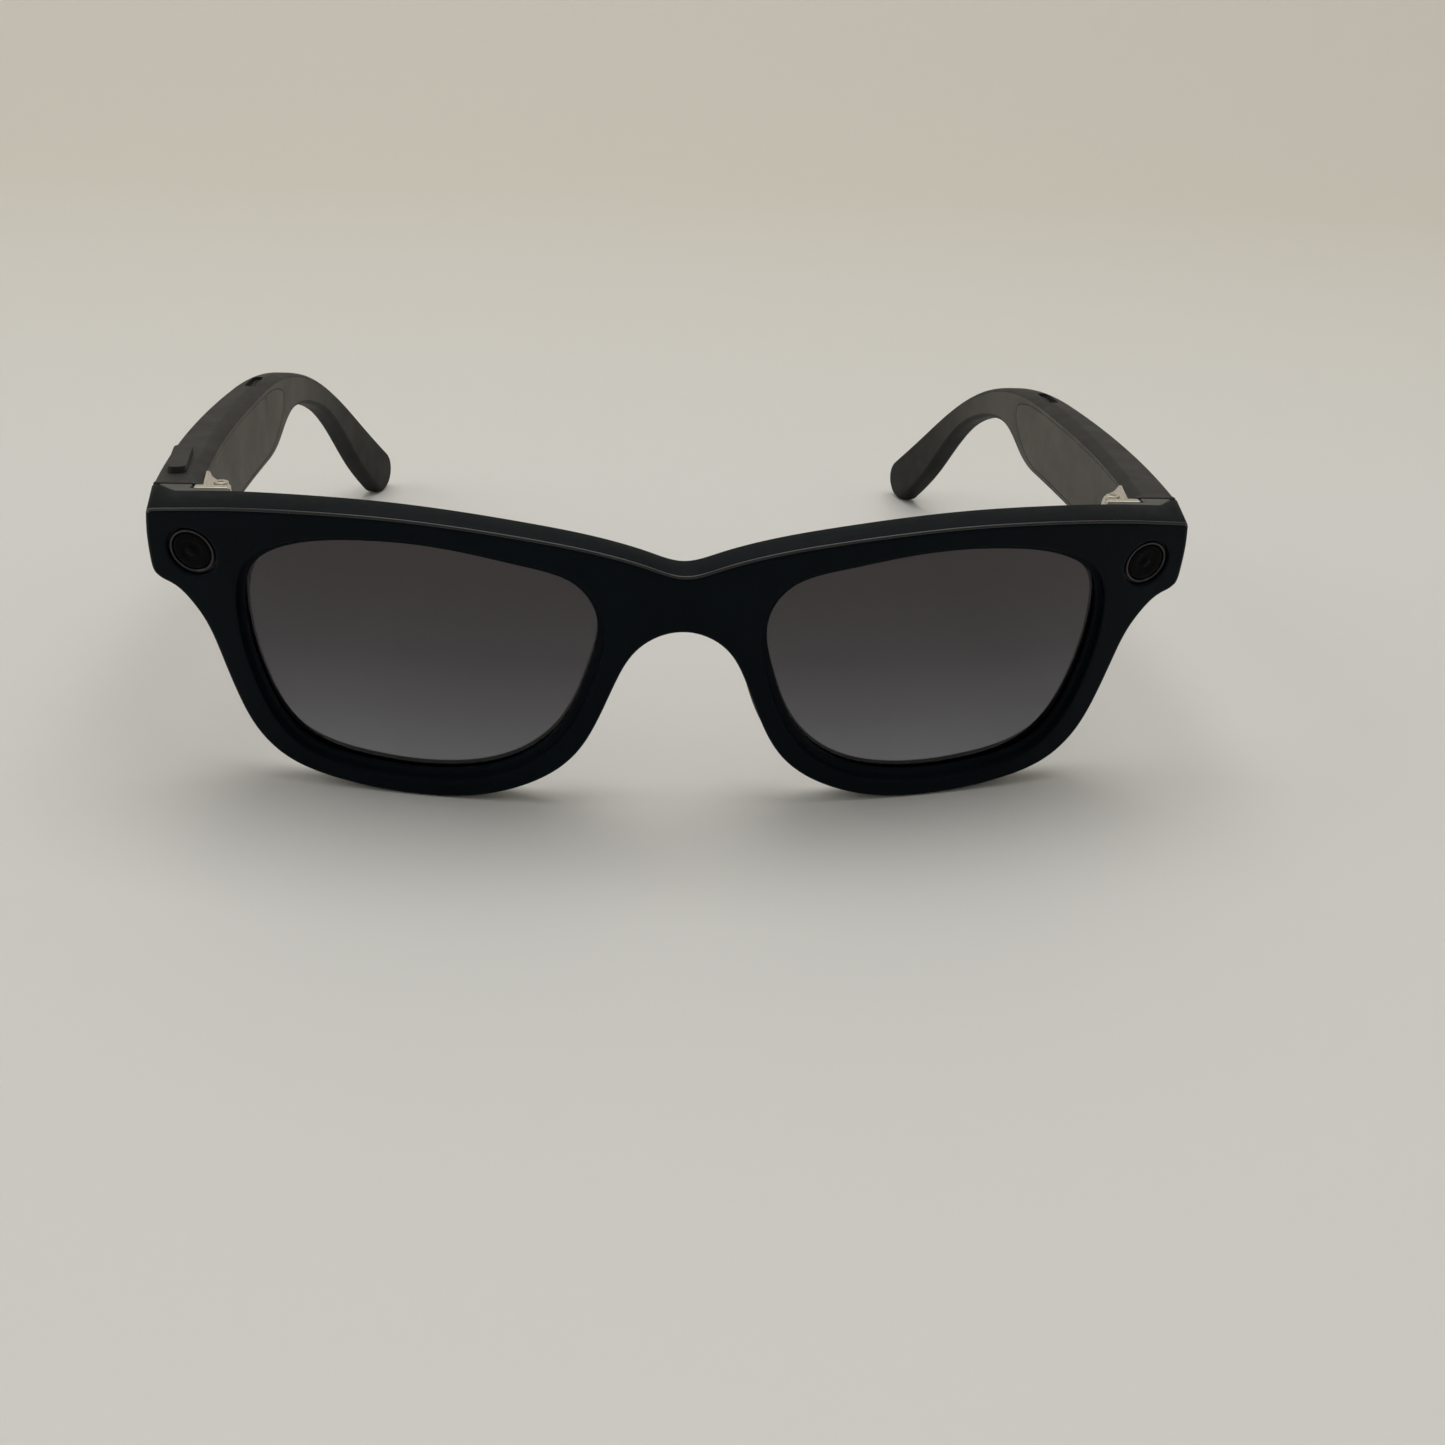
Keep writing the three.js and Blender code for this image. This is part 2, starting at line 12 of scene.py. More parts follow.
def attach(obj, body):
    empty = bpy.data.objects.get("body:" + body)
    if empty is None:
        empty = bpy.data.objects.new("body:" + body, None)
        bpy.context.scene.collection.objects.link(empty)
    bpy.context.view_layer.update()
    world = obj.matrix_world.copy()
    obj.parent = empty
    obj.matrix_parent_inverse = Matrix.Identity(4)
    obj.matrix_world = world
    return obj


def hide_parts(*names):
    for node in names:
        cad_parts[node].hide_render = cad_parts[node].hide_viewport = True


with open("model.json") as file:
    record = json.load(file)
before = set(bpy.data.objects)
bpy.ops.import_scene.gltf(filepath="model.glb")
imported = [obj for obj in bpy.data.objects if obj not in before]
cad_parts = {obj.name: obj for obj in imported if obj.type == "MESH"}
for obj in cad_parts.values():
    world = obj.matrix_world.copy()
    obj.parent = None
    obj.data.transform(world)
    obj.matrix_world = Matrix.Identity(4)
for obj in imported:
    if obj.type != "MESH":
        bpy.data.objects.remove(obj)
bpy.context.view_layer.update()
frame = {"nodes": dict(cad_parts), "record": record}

# ---------- shape of the glasses, in millimetres, as the CAD source draws them ----------
MM = 0.001
FRONT_TILT = math.radians(8.28)
FACE_RADIUS = 204.4
END_X = 74.3
BRIDGE_DEPTH, END_DEPTH, END_WRAP, BUTT = 5.1, 6.2, 2.7, 22.7
LENS_DEPTH, LENS_THICKNESS, LENS_GRIP, LIP_STEP, LIP_DEPTH = 2.3, 1.8, 1.0, 1.0, 1.3
WINDOW_X, WINDOW_Z, WINDOW_HOLE, WINDOW_RING, WINDOW_GLASS = 68.4, 35.85, 3.6, 3.3, 2.75
BROW = [(0, 38.75), (5, 40.1), (13, 42.3), (21, 43.6), (30, 44.55), (40, 45), (50, 44.7),
        (63, 43.45), (END_X, 41.45)]
END_SIDE = [(END_X, 41.45), (74.75, 37.8), (74.8, 34), (74.4, 31.4), (73.8, 30.7)]
UNDERSIDE = [(73.8, 30.7), (71.5, 29.8), (69.5, 27.8), (67.6, 24.6), (66, 19.5), (64.4, 13.8),
             (62, 8), (57.8, 3.6), (51, 1.15), (41, 0), (31, 0.45), (24.6, 2.2), (18.7, 5.4),
             (14.6, 9.6), (11.6, 15.5), (9.3, 21.5), (6.6, 26.6), (3.2, 29.2), (0, 29.9)]
LENS_LIP = [(12.1, 31.5), (15.2, 36.4), (22.3, 38.75), (34, 40.6), (45, 40.5), (54.5, 38.5),
            (60, 34.6), (61.7, 27.5), (60.1, 16.2), (55, 7.2), (45, 4.15), (35, 3.95),
            (24.5, 6.6), (17.3, 13), (13.3, 22.5)]
ROOT = Vector((75.2, 14.85, 43.98))
TEMPLE_START, TEMPLE_STRAIGHT, TEMPLE_HEIGHT = 2.1, 60.7, 13.5
TEMPLE_DROP = math.radians(37.7)
BEND_END = np.array((117.9, -19.3))
UNDER_BEND = [(117.9, -29.6), (109.9, -20.9), (102.2, -14.3), (95, -10.9), (88, -9.1),
              (82.5, -8.8), (77, -10.1), (71.5, -12.2), (66, -TEMPLE_HEIGHT)]
TEMPLE_THICKNESS = [(0, 6.6), (40, 6.1), (60, 5.6), (84, 4.3), (110, 3.8), (142, 3.5)]
TIP_RADIUS = 4.5
SHELL_WALL, COVER = 1.5, 1.3
COVER_OUTLINE = [(9, -1.5), (60, -1.5), (70, -1.9), (75.5, -3.4), (75.5, -6.4), (71, -9.7),
                 (65, -12.2), (30, -12.2), (15, -11.5), (9, -10.7)]
HINGE = Vector((66.2, 18.7, 39.0))
KNUCKLES = {"top": (40.95, 43.1), "middle": (36.65, 40.6), "bottom": (34.2, 36.3)}
BLOCK_TOP = 43.9
GRILLE = dict(y=68, length=9, width=1.5, inward=2.05)
BUTTON = dict(y=13, length=12, width=2.6, inward=2.45, travel=0.4)
SWITCH = dict(y=20, z=-9.0, travel=2)

# ---------- frames ----------
joints = {j["name"]: j for j in frame["record"]["behaviour"]["joints"]}
hinge_joint = joints["left_temple_hinge"]
pitch = math.atan2(hinge_joint["axis"][1], hinge_joint["axis"][2])
lean = Matrix.Rotation(-pitch, 4, "X")
offset = Vector(hinge_joint["pos_m"]) / MM - lean @ HINGE
GLASSES = Matrix.Scale(MM, 4) @ Matrix.Translation(offset) @ lean
FRONT = GLASSES @ Matrix.Rotation(FRONT_TILT, 4, "X")
TEMPLE = GLASSES @ Matrix.Translation(ROOT)


# ---------- curves ----------
def spline(points, spacing, closed=False):
    """Cubic spline through points, closed or with free ends, as evenly spaced points."""
    p = np.array(points, float)
    if closed:
        p = np.vstack([p, p[:1]])
    t = np.concatenate([[0], np.cumsum(np.linalg.norm(np.diff(p, axis=0), axis=1) ** 0.75)])
    n = len(p)
    h = np.diff(t)
    a = np.zeros((n, n))
    b = np.zeros((n, 2))
    for i in range(1, n - 1):
        a[i, i - 1:i + 2] = h[i - 1], 2 * (h[i - 1] + h[i]), h[i]
        b[i] = 6 * ((p[i + 1] - p[i]) / h[i] - (p[i] - p[i - 1]) / h[i - 1])
    if closed:
        a[0, 0], a[0, -1] = 1, -1
        a[-1, 0], a[-1, 1] = 2 * h[0], h[0]
        a[-1, -2], a[-1, -1] = h[-1], 2 * h[-1]
        b[-1] = 6 * ((p[1] - p[0]) / h[0] - (p[-1] - p[-2]) / h[-1])
    else:
        a[0, 0] = a[-1, -1] = 1
    m = np.linalg.solve(a, b)
    u = np.linspace(0, t[-1], 60 * n)
    i = np.clip(np.searchsorted(t, u, side="right") - 1, 0, n - 2)
    left, right, step = (u - t[i])[:, None], (t[i + 1] - u)[:, None], h[i][:, None]
    q = (m[i] * right ** 3 + m[i + 1] * left ** 3) / (6 * step)
    q += (p[i] / step - m[i] * step / 6) * right + (p[i + 1] / step - m[i + 1] * step / 6) * left
    return resample(q, spacing)[:-1] if closed else resample(q, spacing)


def resample(points, spacing):
    points = np.array(points, float)
    s = np.concatenate([[0], np.cumsum(np.linalg.norm(np.diff(points, axis=0), axis=1))])
    count = max(2, int(round(s[-1] / spacing)) + 1)
    at = np.linspace(0, s[-1], count)
    return np.stack([np.interp(at, s, points[:, k]) for k in range(points.shape[1])], 1)


def trimmed(line, length, from_end):
    """The polyline without its last (or first) stretch of that length."""
    line = line[::-1] if from_end else line
    s = np.concatenate([[0], np.cumsum(np.linalg.norm(np.diff(line, axis=0), axis=1))])
    start = np.array([np.interp(length, s, line[:, k]) for k in (0, 1)])
    line = np.vstack([start, line[s > length + 0.02]])
    return line[::-1] if from_end else line


def joined(segments, radii, steps=8):
    """Closed outline of open segments; the corner after segment i is rounded off by radii[i]."""
    count = len(segments)
    cut = []
    for i, line in enumerate(segments):
        line = trimmed(line, radii[i], True)
        cut.append(trimmed(line, radii[i - 1], False))
    out = []
    for i in range(count):
        out.append(cut[i])
        a, corner, b = cut[i][-1], segments[i][-1], cut[(i + 1) % count][0]
        t = np.linspace(0, 1, steps + 1)[1:-1, None]
        out.append((1 - t) ** 2 * a + 2 * t * (1 - t) * corner + t ** 2 * b)
    return np.vstack(out)


def line(a, b, spacing=0.8):
    return resample([a, b], spacing)


def area(p):
    x, y = p[:, 0], p[:, 1]
    return 0.5 * np.sum(x * np.roll(y, -1) - y * np.roll(x, -1))


def ccw(p):
    return p if area(p) > 0 else p[::-1]


def circle(x, y, r, n=64):
    a = np.linspace(0, 2 * np.pi, n, endpoint=False)
    return np.stack([x + r * np.cos(a), y + r * np.sin(a)], 1)


def capsule(x, y, length, width, along_y=False, n=12):
    a = np.linspace(-np.pi / 2, np.pi / 2, n)
    half = (length - width) / 2
    end = np.stack([half + width / 2 * np.cos(a), width / 2 * np.sin(a)], 1)
    p = np.vstack([end, -end])
    sides = []
    for i in range(len(p)):
        a0, a1 = p[i], p[(i + 1) % len(p)]
        gap = np.linalg.norm(a1 - a0)
        parts = max(1, int(gap / 0.8))
        sides += [a0 + (a1 - a0) * k / parts for k in range(parts)]
    p = np.array(sides)
    p = p[:, ::-1] if along_y else p
    return ccw(p + (x, y))


def rounded(points, radius, spacing=0.8, steps=6):
    """Closed polygon with its corners rounded off."""
    points = [np.array(q, float) for q in points]
    count = len(points)
    radii = radius if isinstance(radius, (list, tuple)) else [radius] * count
    segments = [line(points[i], points[(i + 1) % count], 0.1) for i in range(count)]
    radii = [radii[(i + 1) % count] for i in range(count)]
    out = []
    closed = joined(segments, radii, steps)
    out = resample(np.vstack([closed, closed[:1]]), spacing)[:-1]
    return ccw(out)


# ---------- solids from an outline and a profile round every edge ----------
class Loop:
    """A closed outline and the sides of it: n points into the material."""

    def __init__(self, points, hole=False):
        self.p = ccw(np.array(points, float))
        before = self.p - np.roll(self.p, 1, 0)
        after = np.roll(self.p, -1, 0) - self.p
        lb, la = (np.linalg.norm(v, axis=1)[:, None] for v in (before, after))
        t = before / lb * la + after / la * lb
        t /= np.linalg.norm(t, axis=1)[:, None]
        inward = np.stack([-t[:, 1], t[:, 0]], 1)
        self.n = -inward if hole else inward


def inside(points, rings):
    """Which points lie inside by the even-odd rule."""
    flag = np.zeros(len(points), bool)
    for ring in rings:
        a, b = ring, np.roll(ring, -1, 0)
        for k in range(0, len(points), 4000):
            x, y = points[k:k + 4000, 0][:, None], points[k:k + 4000, 1][:, None]
            crosses = (a[:, 1] > y) != (b[:, 1] > y)
            with np.errstate(divide="ignore", invalid="ignore"):
                at = (b[:, 0] - a[:, 0]) * (y - a[:, 1]) / (b[:, 1] - a[:, 1]) + a[:, 0]
            flag[k:k + 4000] ^= (np.sum(crosses & (x < at), axis=1) % 2).astype(bool)
    return flag


class Solid:
    """Vertices are (a, b, depth); near and far give the depths of the two faces."""

    def __init__(self, near, far, grid=2.5):
        self.near, self.far, self.grid = near, far, grid
        self.v, self.f, self.m = [], [], []
        self.count = 0
        self.look = {"n": 0, "f": 0}
        self.caps = {"n": [], "f": []}

    def put(self, xy, depth):
        ids = np.arange(self.count, self.count + len(xy))
        self.v.append(np.column_stack([xy, depth]))
        self.count += len(xy)
        return ids

    def depth(self, xy, side, d):
        return self.near(xy) + d if side == "n" else self.far(xy) - d

    def wall(self, loop, profile, blind=None, looks=None):
        """profile is a list of (offset into the material, side, depth below that side)."""
        rings = []
        for off, side, d in profile:
            off = np.broadcast_to(np.asarray(off, float), (len(loop.p),))
            xy = loop.p + loop.n * off[:, None]
            rings.append((self.put(xy, self.depth(xy, side, d)), xy))
        for band, ((r1, _), (r2, _)) in enumerate(zip(rings, rings[1:])):
            n1, n2 = np.roll(r1, -1), np.roll(r2, -1)
            self.f += np.stack([r1, n1, n2, r2], 1).tolist()
            self.m += looks(band) if looks else [0] * len(r1)
        first, last = rings[0], rings[-1]
        if blind == "n":
            self.caps["n"].append(first)
            self.fill([last], profile[-1][1], profile[-1][2])
        elif blind == "f":
            self.caps["f"].append(last)
            self.fill([first], profile[0][1], profile[0][2])
        else:
            self.caps["n"].append(first)
            self.caps["f"].append(last)
        return rings

    def fill(self, rings, side, d=0.0):
        ids = np.concatenate([r[0] for r in rings])
        xy = np.vstack([r[1] for r in rings])
        outlines = [r[1] for r in rings]
        lo, hi = xy.min(0), xy.max(0)
        s = self.grid
        gx = np.arange(lo[0] + s / 2, hi[0], s)
        gy = np.arange(lo[1] + s / 2, hi[1], s * 0.866)
        pts = np.array([(x + (j % 2) * s / 2, y) for j, y in enumerate(gy) for x in gx]).reshape(-1, 2)
        if len(pts):
            pts = pts[inside(pts, outlines)]
        if len(pts):
            keep = np.ones(len(pts), bool)
            for k in range(0, len(xy), 400):
                gap = np.linalg.norm(pts[:, None] - xy[None, k:k + 400], axis=2).min(1)
                keep &= gap > s * 0.55
            pts = pts[keep]
        edges, start = [], 0
        for r in rings:
            m = len(r[0])
            edges += [(start + i, start + (i + 1) % m) for i in range(m)]
            start += m
        everything = np.vstack([xy, pts]) if len(pts) else xy
        out = delaunay_2d_cdt([Vector(q) for q in everything], edges, [], 0, 1e-7)
        verts, faces, origin = np.array([tuple(v) for v in out[0]]), out[2], out[3]
        extra = self.put(pts, self.depth(pts, side, d)) if len(pts) else np.zeros(0, int)
        index = np.concatenate([ids, extra])
        table = np.full(len(verts), -1)
        for i, o in enumerate(origin):
            if o:
                table[i] = index[o[0]]
        new = np.where(table < 0)[0]
        if len(new):
            table[new] = self.put(verts[new], self.depth(verts[new], side, d))
        tri = np.array(faces)
        middle = verts[tri].mean(1)
        chosen = tri[inside(middle, outlines)]
        self.f += table[chosen].tolist()
        self.m += [self.look[side] if not d else 0] * len(chosen)

    def close(self):
        self.fill(self.caps["n"], "n")
        self.fill(self.caps["f"], "f")
        return np.vstack(self.v), self.f


def mapped(v, f, point):
    """Turns (a, b, depth) into space with point(a, b, depth)."""
    return np.stack(point(v[:, 0], v[:, 1], v[:, 2]), 1), f


def arc(radius, side, steps=6, wall_first=False):
    """Quarter-round between a face and the wall below it."""
    out = []
    for k in range(steps + 1):
        a = math.pi / 2 * k / steps
        out.append((radius * (1 - math.sin(a)), side, radius * (1 - math.cos(a))))
    return out[::-1] if wall_first else out


def make(name, mesh, place, body, material, replaces=(), mirror=False, sharp=38, looks=None):
    """Adds a finished piece to the scene; looks numbers each face's material."""
    v, f = mesh
    m = np.array(place)
    v = v @ m[:3, :3].T + m[:3, 3]
    if mirror:
        v = v * (-1, 1, 1)
    data = bpy.data.meshes.new(name)
    data.from_pydata(v.tolist(), [], [[int(i) for i in face] for face in f])
    materials = material if isinstance(material, list) else [material]
    for each in materials:
        data.materials.append(each)
    if looks:
        data.polygons.foreach_set("material_index", looks)
    bm = bmesh.new()
    bm.from_mesh(data)
    bmesh.ops.remove_doubles(bm, verts=bm.verts, dist=1e-7)
    bmesh.ops.dissolve_degenerate(bm, dist=1e-8, edges=bm.edges)
    bmesh.ops.recalc_face_normals(bm, faces=bm.faces)
    bm.to_mesh(data)
    bm.free()
    for polygon in data.polygons:
        polygon.use_smooth = True
    data.set_sharp_from_angle(angle=math.radians(sharp))
    piece = bpy.data.objects.new(name, data)
    bpy.context.scene.collection.objects.link(piece)
    if body:
        finish_piece(piece, body, replaces)
    return piece


def finish_piece(piece, body, replaces=()):
    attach(piece, body)
    if replaces:
        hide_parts(*replaces)


def carve(piece, cutters):
    """Subtracts closed cutter objects and removes them."""
    for cutter in cutters:
        modifier = piece.modifiers.new("carve", "BOOLEAN")
        modifier.operation, modifier.solver, modifier.object = "DIFFERENCE", "EXACT", cutter
        bpy.context.view_layer.update()
        graph = bpy.context.evaluated_depsgraph_get()
        data = bpy.data.meshes.new_from_object(piece.evaluated_get(graph))
        piece.modifiers.clear()
        old = piece.data
        piece.data = data
        bpy.data.meshes.remove(old)
        bpy.data.objects.remove(cutter)
    for polygon in piece.data.polygons:
        polygon.use_smooth = True
    piece.data.set_sharp_from_angle(angle=math.radians(30))


def lathe(profile, x=0.0, y=0.0, n=48):
    """Turned solid about a vertical axis at x, y from (radius, z) pairs, bottom to top."""
    v, f = [], []
    ring = []
    for r, z in profile:
        if r < 1e-6:
            ring.append([len(v)])
            v.append((x, y, z))
        else:
            ring.append(list(range(len(v), len(v) + n)))
            for k in range(n):
                a = 2 * math.pi * k / n
                v.append((x + r * math.cos(a), y + r * math.sin(a), z))
    for a, b in zip(ring, ring[1:]):
        for k in range(n):
            quad = [a[k % len(a)], a[(k + 1) % len(a)], b[(k + 1) % len(b)], b[k % len(b)]]
            quad = list(dict.fromkeys(quad))
            if len(quad) > 2:
                f.append(quad)
    return np.array(v, float), f


def merge(*meshes):
    v, f, start = [], [], 0
    for vertices, faces in meshes:
        v.append(vertices)
        f += [[i + start for i in face] for face in faces]
        start += len(vertices)
    return np.vstack(v), f


# ---------- materials ----------
def nodes_of(name):
    material = bpy.data.materials.new(name)
    material.use_nodes = True
    tree = material.node_tree
    return material, tree, tree.nodes["Principled BSDF"]


def node(tree, kind, **settings):
    made = tree.nodes.new(kind)
    for key, value in settings.items():
        if key in made.inputs:
            made.inputs[key].default_value = value
        else:
            setattr(made, key, value)
    return made


def where(tree):
    return tree.nodes.new("ShaderNodeTexCoord").outputs["Object"]


def noise(tree, scale, detail=3.0, roughness=0.55):
    made = node(tree, "ShaderNodeTexNoise", Scale=scale, Detail=detail, Roughness=roughness)
    tree.links.new(where(tree), made.inputs["Vector"])
    return made.outputs["Fac"]


def ramp(tree, fac, stops):
    made = tree.nodes.new("ShaderNodeValToRGB")
    tree.links.new(fac, made.inputs["Fac"])
    elements = made.color_ramp.elements
    while len(elements) < len(stops):
        elements.new(0.5)
    for element, (at, colour) in zip(elements, stops):
        element.position = at
        element.color = (*colour, 1) if len(colour) == 3 else colour
    return made.outputs["Color"]


def grey(value):
    return (value, value, value)


def moulded(name, dark, light, rough, grain, grain_height, specular=0.5, tip=None):
    """Moulded plastic: slow colour drift, fine grain in bump and roughness; tip paints shade onto a
    temple's end by darkening its colour there.
    """
    material, tree, shader = nodes_of(name)
    links = tree.links
    colour = ramp(tree, noise(tree, 90, 5), [(0.35, dark), (0.68, light)])
    # Painted shade: towards the temple's rear end the colour is multiplied darker by tip, standing in for
    # the shade that falls there.
    if tip:
        split = tree.nodes.new("ShaderNodeSeparateXYZ")
        links.new(where(tree), split.inputs["Vector"])
        back = node(tree, "ShaderNodeMapRange", interpolation_type="SMOOTHSTEP")
        back.inputs["From Min"].default_value = 0.026
        back.inputs["From Max"].default_value = 0.066
        links.new(split.outputs["Y"], back.inputs["Value"])
        shade = node(tree, "ShaderNodeMix", data_type="RGBA", blend_type="MULTIPLY")
        links.new(back.outputs["Result"], shade.inputs[0])
        links.new(colour, shade.inputs[6])
        shade.inputs[7].default_value = (tip, tip * 1.04, tip * 1.08, 1)
        colour = shade.outputs[2]
    links.new(colour, shader.inputs["Base Color"])
    links.new(ramp(tree, noise(tree, 260, 5), [(0.3, grey(rough[0])), (0.7, grey(rough[1]))]),
              shader.inputs["Roughness"])
    bump = node(tree, "ShaderNodeBump", Strength=1.0, Distance=grain_height)
    links.new(noise(tree, grain, 2, 0.6), bump.inputs["Height"])
    links.new(bump.outputs["Normal"], shader.inputs["Normal"])
    shader.inputs["Specular IOR Level"].default_value = specular
    return material


def metal(name, dark, light, rough, stretch=(1, 1, 1), grain=900, grain_height=0.000004):
    """Metal with fine brushing along one axis."""
    material, tree, shader = nodes_of(name)
    links = tree.links
    mapping = node(tree, "ShaderNodeMapping")
    mapping.inputs["Scale"].default_value = stretch
    links.new(where(tree), mapping.inputs["Vector"])
    lines = node(tree, "ShaderNodeTexNoise", Scale=grain, Detail=3.0)
    links.new(mapping.outputs["Vector"], lines.inputs["Vector"])
    links.new(ramp(tree, lines.outputs["Fac"], [(0.3, dark), (0.7, light)]),
              shader.inputs["Base Color"])
    links.new(ramp(tree, noise(tree, 400), [(0.3, grey(rough[0])), (0.7, grey(rough[1]))]),
              shader.inputs["Roughness"])
    bump = node(tree, "ShaderNodeBump", Strength=1.0, Distance=grain_height)
    links.new(lines.outputs["Fac"], bump.inputs["Height"])
    links.new(bump.outputs["Normal"], shader.inputs["Normal"])
    shader.inputs["Metallic"].default_value = 1.0
    return material


def lens_material():
    """Tinted lens: darker and browner at the top, thinning towards the bottom."""
    material, tree, shader = nodes_of("tinted_lens")
    links = tree.links
    split = tree.nodes.new("ShaderNodeSeparateXYZ")
    links.new(where(tree), split.inputs["Vector"])
    height = node(tree, "ShaderNodeMapRange")
    height.inputs["From Min"].default_value = 0.004
    height.inputs["From Max"].default_value = 0.042
    links.new(split.outputs["Z"], height.inputs["Value"])
    links.new(ramp(tree, height.outputs["Result"],
                   [(0.0, (0.205, 0.208, 0.235)), (0.25, (0.115, 0.113, 0.128)),
                    (0.5, (0.056, 0.052, 0.060)),
                    (0.8, (0.036, 0.030, 0.0335)), (1.0, (0.032, 0.026, 0.0285))]),
              shader.inputs["Base Color"])
    shader.inputs["Roughness"].default_value = 0.0
    shader.inputs["Transmission Weight"].default_value = 1.0
    shader.inputs["IOR"].default_value = 1.5
    return material


def board_material():
    """Solder mask with copper tracks showing through as a fine pattern."""
    material, tree, shader = nodes_of("solder_mask")
    links = tree.links
    brick = node(tree, "ShaderNodeTexBrick", Scale=900.0)
    brick.inputs["Color1"].default_value = (0.012, 0.07, 0.035, 1)
    brick.inputs["Color2"].default_value = (0.016, 0.09, 0.045, 1)
    brick.inputs["Mortar"].default_value = (0.03, 0.13, 0.06, 1)
    links.new(where(tree), brick.inputs["Vector"])
    links.new(brick.outputs["Color"], shader.inputs["Base Color"])
    shader.inputs["Roughness"].default_value = 0.4
    return material


front_nylon = moulded("front_nylon", (0.0020, 0.0042, 0.0064), (0.0030, 0.0058, 0.0086),
                      (0.40, 0.50), 5200, 0.0000035, specular=0.05)
front_edge = moulded("front_edge", (0.0030, 0.0040, 0.0052), (0.0042, 0.0054, 0.0068),
                     (0.22, 0.28), 5200, 0.000001, specular=0.5)
# The tip values on the temple materials below paint shade onto the temples' rear ends.
temple_nylon = moulded("temple_nylon", (0.026, 0.0258, 0.0245), (0.034, 0.0335, 0.032),
                       (0.55, 0.66), 4200, 0.000006, specular=0.2, tip=0.18)
cover_nylon = moulded("cover_nylon", (0.082, 0.077, 0.068), (0.104, 0.098, 0.086),
                      (0.58, 0.7), 3800, 0.000006, specular=0.25, tip=0.12)
# Painted shade: a darker copy of the temple nylon for the chamfer strip along the temple's top inner edge.
shaded_temple_edge = moulded("shaded_temple_edge", (0.016, 0.016, 0.0155), (0.020, 0.0198, 0.019),
                      (0.5, 0.6), 4200, 0.000006, specular=0.2, tip=0.4)
block_nylon = moulded("endpiece_nylon", (0.050, 0.050, 0.047), (0.062, 0.061, 0.058),
                      (0.42, 0.52), 4200, 0.000004)
button_plastic = moulded("button_plastic", (0.050, 0.046, 0.041), (0.062, 0.056, 0.050),
                         (0.45, 0.55), 4500, 0.000004)
pad_nylon = moulded("nose_pad_nylon", (0.008, 0.009, 0.011), (0.011, 0.012, 0.014),
                    (0.42, 0.52), 4800, 0.000004, specular=0.4)
black_plastic = moulded("black_plastic", (0.006, 0.006, 0.0065), (0.010, 0.010, 0.011),
                        (0.5, 0.62), 4000, 0.000005)
ring_metal = moulded("dark_ring", (0.0030, 0.0033, 0.0038), (0.0050, 0.0054, 0.0060),
                     (0.12, 0.18), 3500, 0.0000005, specular=0.45)
barrel_black = moulded("lens_barrel", (0.0012, 0.0013, 0.0014), (0.002, 0.0021, 0.0023),
                       (0.25, 0.35), 3500, 0.0, specular=0.25)
champagne = metal("hinge_metal", (0.56, 0.52, 0.45), (0.70, 0.66, 0.58), (0.26, 0.36),
                  stretch=(1, 1, 12))
gold = metal("gold_plate", (0.78, 0.55, 0.24), (0.90, 0.67, 0.33), (0.22, 0.32))
foil = metal("shield_foil", (0.45, 0.46, 0.48), (0.6, 0.61, 0.63), (0.3, 0.42), grain=500)
copper_flex = moulded("copper_flex", (0.30, 0.13, 0.04), (0.42, 0.19, 0.06), (0.35, 0.45), 2500, 0.000004)
solder_mask = board_material()
lens_tint = lens_material()
window_glass = moulded("window_glass", (0.0014, 0.0017, 0.0020), (0.0022, 0.0026, 0.0030),
                       (0.10, 0.14), 1500, 0.0, specular=0.035)
lens_element = moulded("lens_element", (0.005, 0.004, 0.010), (0.010, 0.008, 0.018),
                       (0.06, 0.1), 1500, 0.0, specular=0.9)


# ---------- the front ----------
def face_y(x):
    return x * x / (2 * FACE_RADIUS)


def smoothstep(x, a, b):
    t = np.clip((x - a) / (b - a), 0, 1)
    return t * t * (3 - 2 * t)


def front_depth(x):
    x = np.abs(x)
    return (BRIDGE_DEPTH + (END_DEPTH - BRIDGE_DEPTH) * (x / END_X) ** 2
            + END_WRAP * smoothstep(x, 71, END_X + 0.5))


def near_face(xy):
    return face_y(xy[:, 0])


def rear_face(xy):
    return face_y(xy[:, 0]) + front_depth(xy[:, 0])


def front_point(x, z, depth):
    return x, depth, z


def both(half):
    return [(-x, z) for x, z in reversed(half[1:])] + list(half)


def front_outline():
    brow = spline(both(BROW), 0.8)
    right = spline(END_SIDE, 0.5)
    under = spline(both(UNDERSIDE[::-1]), 0.8)[::-1]
    left = (right * (-1, 1))[::-1]
    return joined([brow, right, under, left], [0.9, 1.0, 1.0, 0.9])


def mixed(simple, special, weight):
    """Profile that goes from simple to special with weight, point by point."""
    return [((1 - weight) * o0 + weight * o1, side, (1 - weight) * d0 + weight * d1)
            for (o0, side, d0), (o1, _, d1) in zip(simple, special)]


